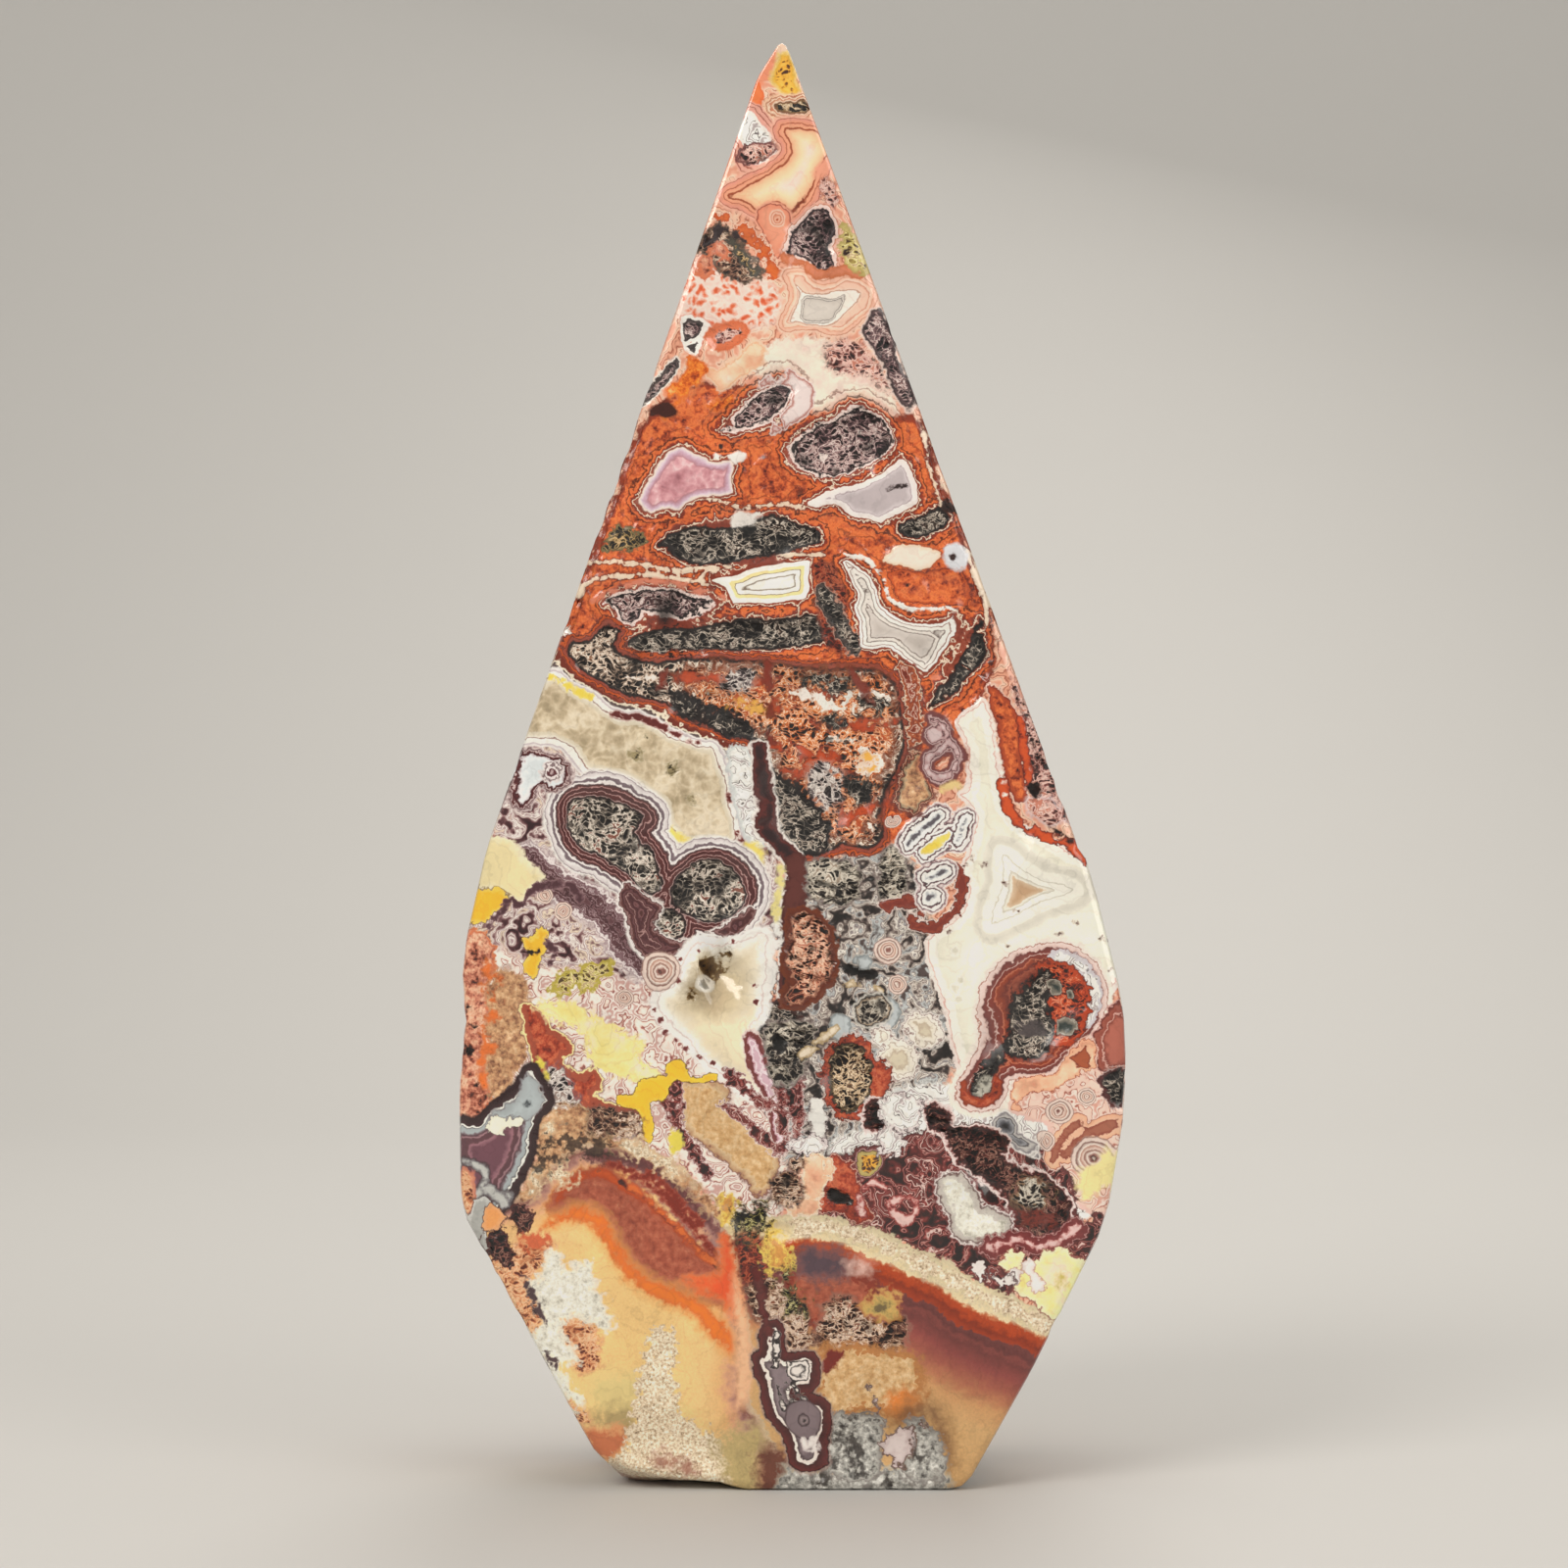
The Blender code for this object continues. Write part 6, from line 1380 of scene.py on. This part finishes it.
def finishGroup():
    # every area: slow cloud of tone, mineral grain where grainy, painted shade darkening the pores where
    # porous
    gives = {"Colour": "NodeSocketColor", "Roughness": "NodeSocketFloat", "Coat": "NodeSocketFloat",
             "Normal": "NodeSocketVector"}
    graph = newGroup("agate_finish", {"Colour": "NodeSocketColor", "Veins": "NodeSocketFloat"}, gives)
    drawn = graph.node("NodeGroupInput", {}, {}, "Colour")
    noises = stoneFields(graph)
    cloud, grain, dust, slow = (noises[name] for name in ("cloud", "grain", "dust", "slow"))
    porousWire = graph.attribute("porous")
    grainyWire = graph.attribute("grainy")
    deep = graph.node("ShaderNodeGamma", {}, {"Color": drawn, "Gamma": polish["gamma"]})
    tone = (cloud - 0.5) * 0.42 + (dust - 0.5) * 0.14 + (slow - 0.5) * 0.25 + polish["lift"]
    tone = tone + grainyWire * ((dust - 0.5) * 0.75 + (grain - 0.5) * 0.45)
    tone = tone - drawn.output("Veins") * polish["veins"]
    toned = graph.node("ShaderNodeVectorMath", {"operation": "SCALE"}, {0: deep, "Scale": tone})
    limit = (polish["brightest"],) * 3
    toned = graph.node("ShaderNodeVectorMath", {"operation": "MINIMUM"}, {0: toned, 1: limit})
    # painted shade in the pores: fine specks, vesicle holes and the cut pits are mixed towards the near-black
    # pore colour
    fine = porousWire * (0.46 - (dust * 0.5 + grain * 0.5)).between(0.0, 0.06)
    holes = porousWire.between(0.3, 0.9) * noises["vesicles"].between(0.40, 0.27) * grain.between(0.62, 0.5)
    dark = (fine * 0.8).math("MAXIMUM", graph.attribute("pits").between(0.35, 0.95) * 0.88)
    dark = dark.math("MAXIMUM", holes * 0.95)
    colour = graph.mix(dark, toned, linearColour(polish["poreShadeTone"]))
    height = (dust - 0.5) * (grainyWire * 0.5 + porousWire * 0.6)
    height = height + (grain - 0.5) * porousWire * 0.8 - holes * 0.6
    bump = graph.node("ShaderNodeBump", {}, {
        "Strength": polish["bumpStrength"], "Distance": polish["bumpDistance"], "Height": height}, "Normal")
    roughness = porousWire * polish["porousRoughness"] + grainyWire * polish["grainyRoughness"]
    roughness = roughness + (cloud - 0.5) * 0.08 + polish["roughness"]
    roughness = roughness.math("MINIMUM", polish["roughest"])
    coat = (1.0 - (porousWire + grainyWire * 0.6)).math("MAXIMUM", 0.0) * polish["coat"]
    results = {"Colour": colour, "Roughness": roughness, "Coat": coat, "Normal": bump}
    graph.node("NodeGroupOutput", {}, results)
    return graph.tree


def regionMaterial(name, paintTree, finishTree, chosen):
    material, graph = newMaterial(name)
    painted = graph.node("ShaderNodeGroup", {"node_tree": paintTree}, {}, "jitter")
    colour = painted.output("peachLace")
    for item in chosen:
        span = item["span"]
        share = painted.math("MULTIPLY_ADD", item["wobble"] / span, graph.attribute("d_" + item["name"]))
        own, cover = graph.ramp(share, item["stops"], scaled=True)
        if item["paint"]:
            edge = (item["paintEdge"] - item["low"]) / span
            own = graph.mix(share.between(edge, edge - 0.2 / span), own, painted.output(item["paint"]))
        colour = graph.mix(cover, colour, own)
    finished = graph.node("ShaderNodeGroup", {"node_tree": finishTree},
                          {"Colour": colour, "Veins": painted.output("veins")}, "Colour")
    shader = graph.node("ShaderNodeBsdfPrincipled", {}, {
        "Base Color": finished,
        "Roughness": finished.output("Roughness"),
        "Coat Weight": finished.output("Coat"),
        "Normal": finished.output("Normal"),
        "Coat Roughness": polish["coatRoughness"],
        "IOR": polish["refraction"],
        "Specular IOR Level": polish["specular"]})
    graph.node("ShaderNodeOutputMaterial", {}, {"Surface": shader})
    return material


def dressRegions():
    # faces are sorted by where they lie in the drawing, and each region's material holds its own layers
    corners = np.empty(len(stoneMesh.polygons) * 3, np.int32)
    stoneMesh.polygons.foreach_get("vertices", corners)
    corners = corners.reshape(-1, 3)
    middle = places[corners].mean(1)
    columns = stone["regionColumns"]
    across = np.clip((middle[:, 0] - stone["drawingLeft"]) // stone["regionWidth"], 0, columns - 1)
    down = np.clip((middle[:, 1] - stone["drawingTop"]) // stone["regionHeight"], 0, stone["regionRows"] - 1)
    region = (down * columns + across).astype(np.int32)
    slots = np.zeros(len(region), np.int32)
    nodeCount = 0
    paintTree = paintGroup()
    finishTree = finishGroup()
    pending = [region == number for number in np.unique(region)]
    while pending:
        inside = pending.pop(0)
        members = np.unique(corners[inside])
        chosen = [item for item in layers
                  if item["distance"][members].min() < item["last"] + stone["coverMargin"] * item["wobble"]]
        weight = stone["layerWeight"] * len(chosen)
        weight += stone["paintWeight"] * len({item["paint"] for item in chosen})
        if weight > stone["regionWeight"]:
            leftHalf = inside & (middle[:, 0] < np.median(middle[inside, 0]))
            pending[:0] = [leftHalf, inside & ~leftHalf]
            continue
        index = len(stoneMesh.materials)
        material = regionMaterial("polished_agate_" + str(index + 1).zfill(2), paintTree, finishTree, chosen)
        nodeCount += len(material.node_tree.nodes)
        stoneMesh.materials.append(material)
        slots[inside] = index
    stoneMesh.polygons.foreach_set("material_index", slots)
    print("region materials:", len(stoneMesh.materials), "nodes in all:", nodeCount)


dressRegions()
agate = bpy.data.objects.new("agate_body", stoneMesh)
bpy.context.scene.collection.objects.link(agate)
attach(agate, "root")
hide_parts("agate_flame")


# floor, light and camera
studio = {
    "floorTone": "C9C8C6",
    "floorRoughness": 0.75,
    "sweepFront": -1.2,       # metres: where the floor starts, where it bends up, and how
    "sweepBend": 0.45,
    "sweepRadius": 0.30,
    "sweepTop": 1.6,
    "sweepHalfWidth": 1.6,
    "sweepSteps": 12,
    "cameraPlace": (-0.001, -0.470, 0.083),
    "lens": 88.0,
    "sensorWidth": 36.0,
    "skyTone": "F1ECE4",
    "skyStrength": 0.475,
    "lightTone": "FFFAF2",
    "lights": [               # name, place and aim, size in metres, power in watts
        ("key_light", (-0.45, -0.55, 0.60), (0, 0, 0.08), 0.45, 3.40),
        ("fill_light", (0.55, -0.50, 0.35), (0, 0, 0.08), 0.50, 1.55),
        ("top_light", (0.05, 0.10, 0.75), (0, 0, 0.05), 0.50, 1.55),
        ("back_light", (0.10, 0.60, 0.50), (0, 0, 0.08), 0.40, 1.55),
    ],
}


def backdrop():
    # a plain sweep: floor, curve and wall in one strip
    mesh = bmesh.new()
    bend = studio["sweepBend"]
    radius = studio["sweepRadius"]
    halfWidth = studio["sweepHalfWidth"]
    profile = [(studio["sweepFront"], 0.0), (bend, 0.0)]
    for step in range(1, studio["sweepSteps"] + 1):
        angle = math.radians(step * 90 / studio["sweepSteps"])
        profile.append((bend + radius * math.sin(angle), radius * (1 - math.cos(angle))))
    profile.append((bend + radius, studio["sweepTop"]))
    left = [mesh.verts.new((-halfWidth, y, z)) for y, z in profile]
    right = [mesh.verts.new((halfWidth, y, z)) for y, z in profile]
    for index in range(len(profile) - 1):
        mesh.faces.new((left[index], right[index], right[index + 1], left[index + 1]))
    data = bpy.data.meshes.new("studio_sweep")
    mesh.to_mesh(data)
    mesh.free()
    data.polygons.foreach_set("use_smooth", np.ones(len(data.polygons), bool))
    material, graph = newMaterial("studio_paper")
    shader = graph.node("ShaderNodeBsdfPrincipled", {}, {
        "Base Color": linearColour(studio["floorTone"]), "Roughness": studio["floorRoughness"]})
    graph.node("ShaderNodeOutputMaterial", {}, {"Surface": shader})
    data.materials.append(material)
    made = bpy.data.objects.new("studio_sweep", data)
    bpy.context.scene.collection.objects.link(made)


def softLight(name, place, aim, size, power):
    data = bpy.data.lights.new(name, "AREA")
    data.shape = "DISK"
    data.size = size
    data.energy = power
    data.color = linearColour(studio["lightTone"])[:3]
    made = bpy.data.objects.new(name, data)
    made.location = place
    made.rotation_euler = (Vector(aim) - Vector(place)).to_track_quat("-Z", "Y").to_euler()
    bpy.context.scene.collection.objects.link(made)


backdrop()
for light in studio["lights"]:
    softLight(*light)

world = bpy.data.worlds.new("studio_sky")
world.use_nodes = True
sky = world.node_tree.nodes["Background"]
sky.inputs["Color"].default_value = linearColour(studio["skyTone"])
sky.inputs["Strength"].default_value = studio["skyStrength"]
bpy.context.scene.world = world
bpy.context.scene.view_settings.view_transform = "Standard"

cameraData = bpy.data.cameras.new("photo_camera")
cameraData.lens = studio["lens"]
cameraData.sensor_width = studio["sensorWidth"]
camera = bpy.data.objects.new("photo_camera", cameraData)
camera.location = studio["cameraPlace"]
camera.rotation_euler = (math.radians(90), 0, 0)    # level, along +Y
bpy.context.scene.collection.objects.link(camera)
bpy.context.scene.camera = camera
